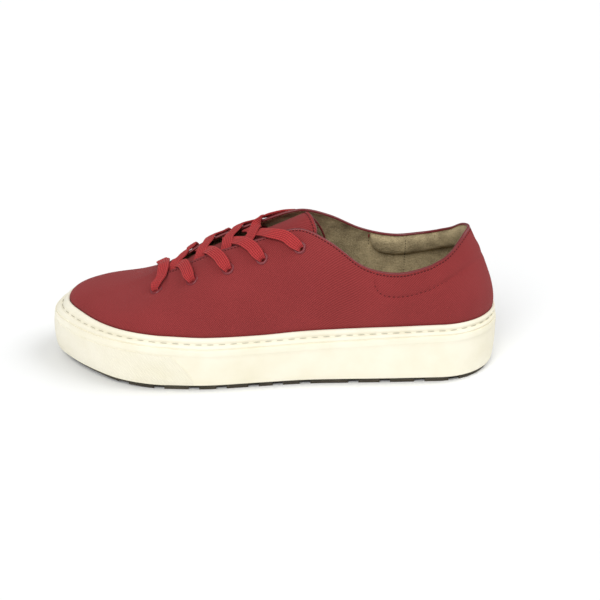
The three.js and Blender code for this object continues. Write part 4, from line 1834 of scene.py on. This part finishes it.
@dataclass
class Lace:
    """One flat lace: a bar over the first pair, then crossings up to the last pair."""

    last: Last
    width: float = 8.3
    thick: float = 1.55
    gathered: float = 4.0  # width where it is squeezed through an eyelet
    ribs: int = 6
    rib_height: float = 0.26
    gutter: float = 1.5  # depth of the gutter that it makes in an eyelet
    step: float = 0.9
    hidden: float = -3.9  # height of the lace over the outer face where it runs inside
    bar_rise: float = 1.5
    bar_shoulders: tuple[Flat, ...] = ((0.3, 1.5), (0.62, 1.8))  # share of the way down, and height
    bar_x: float = -75.0  # the bar's middle, along the shoe

    # Heights of a run over the throat's edge, for the run beneath and the run on top: early on,
    # where they meet, late, on the edge itself, and over the canvas outside.
    rises: tuple[tuple[float, ...], ...] = ((-1.0, -0.2, 1.0, 2.0, 2.6), (0.5, 1.9, 1.3, 1.1, 1.2))
    # The way down through an eyelet: distance past its middle, height over the face, how far it has
    # turned down, share of the full width, and curl.
    dive_shape: tuple[tuple[float, ...], ...] = (
        (-4.8, 2.3, 0.1, 1.0, 0.0),
        (-2.2, 2.0, 0.35, 0.82, 0.3),
        (-0.2, 1.3, 0.65, 0.45, 0.8),
        (0.75, -0.4, 0.95, 0.1, 1.0),
        (0.8, -2.2, 1.0, 0.0, 1.0),
        (0.4, -4.4, 1.0, 0.1, 0.6),
    )
    squeeze: float = 1.25  # how much thicker the lace is where it is gathered
    crossings: tuple[Crossing, ...] = (
        Crossing(-70.0, -66.8, -60.5, -60.0, 0.0),
        Crossing(-50.8, -48.0, -43.0, -40.2, 0.1),
        Crossing(-32.3, -31.0, -23.5, -19.5, 0.3),
        Crossing(-19.0, -13.5, -8.0, -1.5, 0.5),
    )

    @staticmethod
    def ring_at(x: float) -> float:
        """Place along the ring of a place along the shoe's body."""
        return TOE_RING + max(x - TOE_X, 0.0)

    def stop(self, ring: float, up: float, lift: float, sign: float, spare: float = 1.0) -> Stop:
        """Place over the upper's face, lying flat on it.

        Args:
            ring: place on the ring.
            up: share of the way up.
            lift: height over the face.
            sign: which face of the lace looks outwards.
            spare: share of the full width.

        Returns:
            The stop.
        """
        point, normal = self.last.face_at(ring, up, lift)
        return Stop(point, normal * sign, mix(self.gathered, self.width, spare), self.thick)

    def dive(self, side: Side, index: int, before: Stop, sign: float) -> list[Stop]:
        """The way down through an eyelet, after a stop outside it.

        Args:
            side: the eyelet's side.
            index: its number from the toe.
            before: the last stop on the outside.
            sign: which face of the lace looked outwards.

        Returns:
            Stops from the hole's mouth to the inside.
        """
        along, up = EYELET_PLACES[index]
        centre, normal = self.last.face_at(side.ring(along), up)
        forward = centre - before.point
        forward = (forward - normal * forward.dot(normal)).normalized()
        stops = []
        for ahead, lift, turn, wide, curl in self.dive_shape:
            facing = (normal * (1 - turn) + forward * turn).normalized() * sign
            point = centre + forward * ahead + normal * lift
            spread_out = mix(self.gathered, self.width, wide)
            thick = self.thick * mix(self.squeeze, 1.0, wide)
            stops.append(Stop(point, facing, spread_out, thick, curl * sign))
        return stops

    def throat(self, x: float, side: Side, across: float, rise: float, sign: float) -> Stop:
        """Place over the throat.

        Args:
            x: place along the shoe.
            side: the side that across counts towards.
            across: 1 on the throat's edge, 0 on the long axis.
            rise: height over the throat's edge.
            sign: which face of the lace looks up.

        Returns:
            The stop.
        """
        section = self.last.section(side.ring(self.ring_at(x)))
        point = section.place(across * section.top, section.top_z + rise) / MM
        facing = Vector((-0.45, 0.3 * side.value * across, 1.0)).normalized()
        return Stop(point, facing * sign, self.width, self.thick)

    def crossing(self, index: int, side: Side, over: bool, sign: float) -> list[Stop]:
        """From inside one eyelet across to the next pair's eyelet on the other side.

        Args:
            index: number of the eyelet that it leaves.
            side: the side that it goes to.
            over: whether it lies on top where it crosses its partner.
            sign: which face of the lace looks outwards.

        Returns:
            Stops from under the wall to inside the next eyelet.
        """
        start, start_up = EYELET_PLACES[index]
        end, end_up = EYELET_PLACES[index + 1]
        way = self.crossings[index]
        away = side.other
        leave = self.ring_at(way.leave)
        land_x = way.far if over else way.near
        land = self.ring_at(land_x)
        early, middle, late, edge, outside = self.rises[over]
        slack = way.slack if over else 0.0
        stops = [
            self.stop(away.ring(mix(start, leave, 0.6)), mix(start_up, 1.0, 0.6), self.hidden, sign, 0.8),
            self.throat(way.leave, away, 0.86, -2.6, sign),
            self.throat(mix(way.leave, way.meet, 0.5), away, 0.5, early, sign),
            self.throat(way.meet, side, 0.0, middle, sign),
            self.throat(mix(way.meet, land_x, 0.5), side, 0.55, late + slack, sign),
            self.stop(side.ring(land), 0.96 if over else 0.99, edge + slack, sign),
            self.stop(side.ring(mix(land, end, 0.5)), mix(end_up, 1.0, 0.52), outside, sign),
        ]
        if index == len(self.crossings) - 1 and over:
            self.fold(stops)
            sign = -sign
        return stops + self.dive(side, index + 1, stops[-1], sign)

    def fold(self, stops: list[Stop]) -> None:
        """Turns the run over, in one flat fold just past the middle of the throat.

        Args:
            stops: the run's stops so far, which are changed.
        """
        for stop in stops[-2:]:
            stop.facing = -stop.facing
        stops[-3].facing = Vector((1.0, 0.25, 0.15)).normalized() * (1 if stops[0].facing.z > 0 else -1)
        stops[-3].width *= 0.85

    def half(self, side: Side) -> list[Stop]:
        """One half of the lace, from the middle of the bar to its end at the top eyelet.

        Args:
            side: the side of its first eyelet.

        Returns:
            All its stops.
        """
        along, up = EYELET_PLACES[0]
        hole = self.last.face_at(side.ring(along), up)[0]
        other = self.last.face_at(side.other.ring(along), up)[0]
        middle = (hole + other) / 2
        middle.x = self.bar_x + self.last.shift.x
        middle.z = self.last.section(TOE_RING).top_z + self.bar_rise
        stops = [Stop(middle, Vector((-0.3, 0, 0.95)).normalized(), self.width, self.thick)]
        for share, lift in self.bar_shoulders:
            stops.append(self.stop(side.ring(along), mix(1.0, up, share), lift, 1.0))
        stops += self.dive(side, 0, stops[-1], 1.0)
        sign = -1.0
        target = side.other
        for index in range(len(self.crossings)):
            stops += self.crossing(index, target, target is Side.MEDIAL, sign)
            target = target.other
            sign = -sign
        return stops

    def section_loop(self, stop: Stop) -> list[Flat]:
        """Outline of the lace's section: flat, round at the edges, ribbed on both faces.

        Args:
            stop: the place, with its width, thickness and curl.

        Returns:
            Points across the lace and up from it.
        """
        count = self.ribs * 4
        half_width, half_thick = stop.width / 2, stop.thick / 2
        face = []
        for index in range(count + 1):
            share = 2 * index / count - 1
            round_edge = (1 - abs(share) ** 5) ** 0.5
            rib = abs(math.cos(math.pi * self.ribs * (share + 1) / 2 + math.pi / 2))
            height = half_thick * round_edge * (1 - self.rib_height) + self.rib_height * rib * round_edge
            face.append((share * half_width, height))
        back = [(across, -height) for across, height in reversed(face[1:-1])]
        bow = self.gutter * stop.curl
        return [(across, height + bow * ((across / half_width) ** 2 - 0.4)) for across, height in face + back]

    def skin(self, stops: Sequence[Stop]) -> bmesh.types.BMesh:
        """Sweeps the section along smooth curves through the stops.

        Args:
            stops: the whole route.

        Returns:
            The lace's mesh.
        """
        places = [0.0]
        for first, second in zip(stops, stops[1:]):
            places.append(places[-1] + max((second.point - first.point).length, 0.2))
        names = ("point", "facing", "width", "thick", "curl")
        columns = {name: [getattr(stop, name) for stop in stops] for name in names}
        count = round(places[-1] / self.step)
        lines, lengths = [], []
        for index in range(count + 1):
            at = places[-1] * index / count
            here = {name: smooth(places, column, at) for name, column in columns.items()}
            ahead = smooth(places, columns["point"], min(at + 0.3, places[-1]))
            behind = smooth(places, columns["point"], max(at - 0.3, 0.0))
            along = (ahead - behind).normalized()
            across = along.cross(here["facing"]).normalized()
            up = across.cross(along)
            stop = Stop(**here)
            loop = [(stop.point + across * a + up * b) * MM for a, b in self.section_loop(stop)]
            lines.append(loop)
            lengths.append(at)
        face = self.ribs * 4

        def weave(first: int, second: int) -> Flat:
            """Place along the lace and across it."""
            station = int(clamp(first - 1, 0, count))
            over = second if second <= face else 2 * face - second
            return lengths[station], self.width * over / face

        return band_mesh(lines, weave)

    def build(self) -> list[bpy.types.Object]:
        """Makes the whole lace as one piece."""
        first = self.half(Side.LATERAL)
        second = self.half(Side.MEDIAL)
        route = list(reversed(first)) + second[1:]
        piece = to_object(self.skin(route), "lace", BRAID, crease=80)
        crossings = [f"lace_cross_{index + 1}" for index in range(len(EYELET_PLACES) - 1)]
        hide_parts("lace_bar", *crossings)
        return [piece]


# ---- Studio --------------------------------------------------------------------------------


@dataclass
class Studio:
    """Camera, soft lights and a pale floor."""

    last: Last
    elevation: float = 25.0
    distance: float = 1000.0
    target: tuple[float, float, float] = (16.5, 0.0, 42.0)
    lens: float = 88.8
    sensor: float = 36.0
    floor_size: float = 12.0  # half its side, in metres
    floor_gap: float = 0.05  # the floor lies this far under the shoe
    room_light: float = 0.38

    # Each light's name, the direction it comes from, how wide it looks in degrees, and its power.
    lights: tuple[tuple[str, tuple[float, float, float], float, float], ...] = (
        ("key", (-0.36, -1.0, 0.95), 38.0, 1.78),
        ("top", (0.75, 0.1, 0.95), 44.0, 1.25),
    )

    def build_camera(self) -> None:
        """Stands the camera on the lateral side, looking down at the shoe."""
        angle = math.radians(self.elevation)
        data = bpy.data.cameras.new("camera")
        data.lens = self.lens
        data.sensor_width = self.sensor
        camera = bpy.data.objects.new("camera", data)
        bpy.context.scene.collection.objects.link(camera)
        back = Vector((0.0, -math.cos(angle), math.sin(angle))) * self.distance
        camera.location = (Vector(self.target) + back + self.last.shift) * MM
        camera.rotation_euler = (math.pi / 2 - angle, 0.0, 0.0)
        bpy.context.scene.camera = camera

    def add_light(self, name: str, source: Vector, width: float, power: float) -> None:
        """Adds a soft light that falls evenly from one direction.

        Args:
            name: its name.
            source: the direction that it comes from.
            width: how wide it looks from the shoe, in degrees.
            power: its strength in watts to a square metre.
        """
        data = bpy.data.lights.new(name, "SUN")
        data.angle = math.radians(width)
        data.energy = power
        light = bpy.data.objects.new(name, data)
        bpy.context.scene.collection.objects.link(light)
        light.rotation_euler = source.to_track_quat("Z", "Y").to_euler()

    def build_floor(self) -> None:
        """Lays a plain pale floor."""
        mesh = bmesh.new()
        bmesh.ops.create_grid(mesh, x_segments=1, y_segments=1, size=self.floor_size)
        bmesh.ops.translate(mesh, verts=mesh.verts, vec=(0.0, 0.0, -self.floor_gap * MM))
        data = bpy.data.meshes.new("floor")
        mesh.to_mesh(data)
        mesh.free()
        floor = bpy.data.objects.new("floor", data)
        bpy.context.scene.collection.objects.link(floor)
        material = bpy.data.materials.new("white paper")
        material.use_nodes = True
        shader = material.node_tree.nodes["Principled BSDF"]
        shader.inputs["Base Color"].default_value = linear("#fafbfb")
        shader.inputs["Roughness"].default_value = 0.9
        shader.inputs["Specular IOR Level"].default_value = 0.2
        data.materials.append(material)

    def build_world(self) -> None:
        """Fills the room with even white light."""
        world = bpy.data.worlds.new("studio")
        world.use_nodes = True
        shade = world.node_tree.nodes["Background"]
        shade.inputs["Color"].default_value = linear("#ffffff")
        shade.inputs["Strength"].default_value = self.room_light
        bpy.context.scene.world = world
        bpy.context.scene.view_settings.view_transform = "Standard"

    def build(self) -> None:
        """Sets the whole studio."""
        self.build_camera()
        self.build_floor()
        self.build_world()
        for name, source, width, power in self.lights:
            self.add_light(name, Vector(source), width, power)


# ---- Assembly ------------------------------------------------------------------------------


def report(title: str, pieces: Sequence[bpy.types.Object]) -> None:
    """Logs each piece of a sub-assembly with its count of faces.

    Args:
        title: the sub-assembly's name.
        pieces: its pieces.
    """
    for piece in pieces:
        LOG.info("%s: %s, %d faces", title, piece.name, len(piece.data.polygons))


def main() -> None:
    """Builds the shoe round its frame, then the studio."""
    logging.basicConfig(level=logging.INFO, format="%(message)s")
    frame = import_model()
    last = Last("midsole")
    Studio(last).build()
    report("upper", Upper(last).build())
    report("sole", Sole(last).build(frame["nodes"]["outsole"]))
    report("tongue", Tongue(last).build())
    report("eyelets", Eyelets(last).build())
    report("lace", Lace(last).build())


if __name__ == "__main__":
    main()
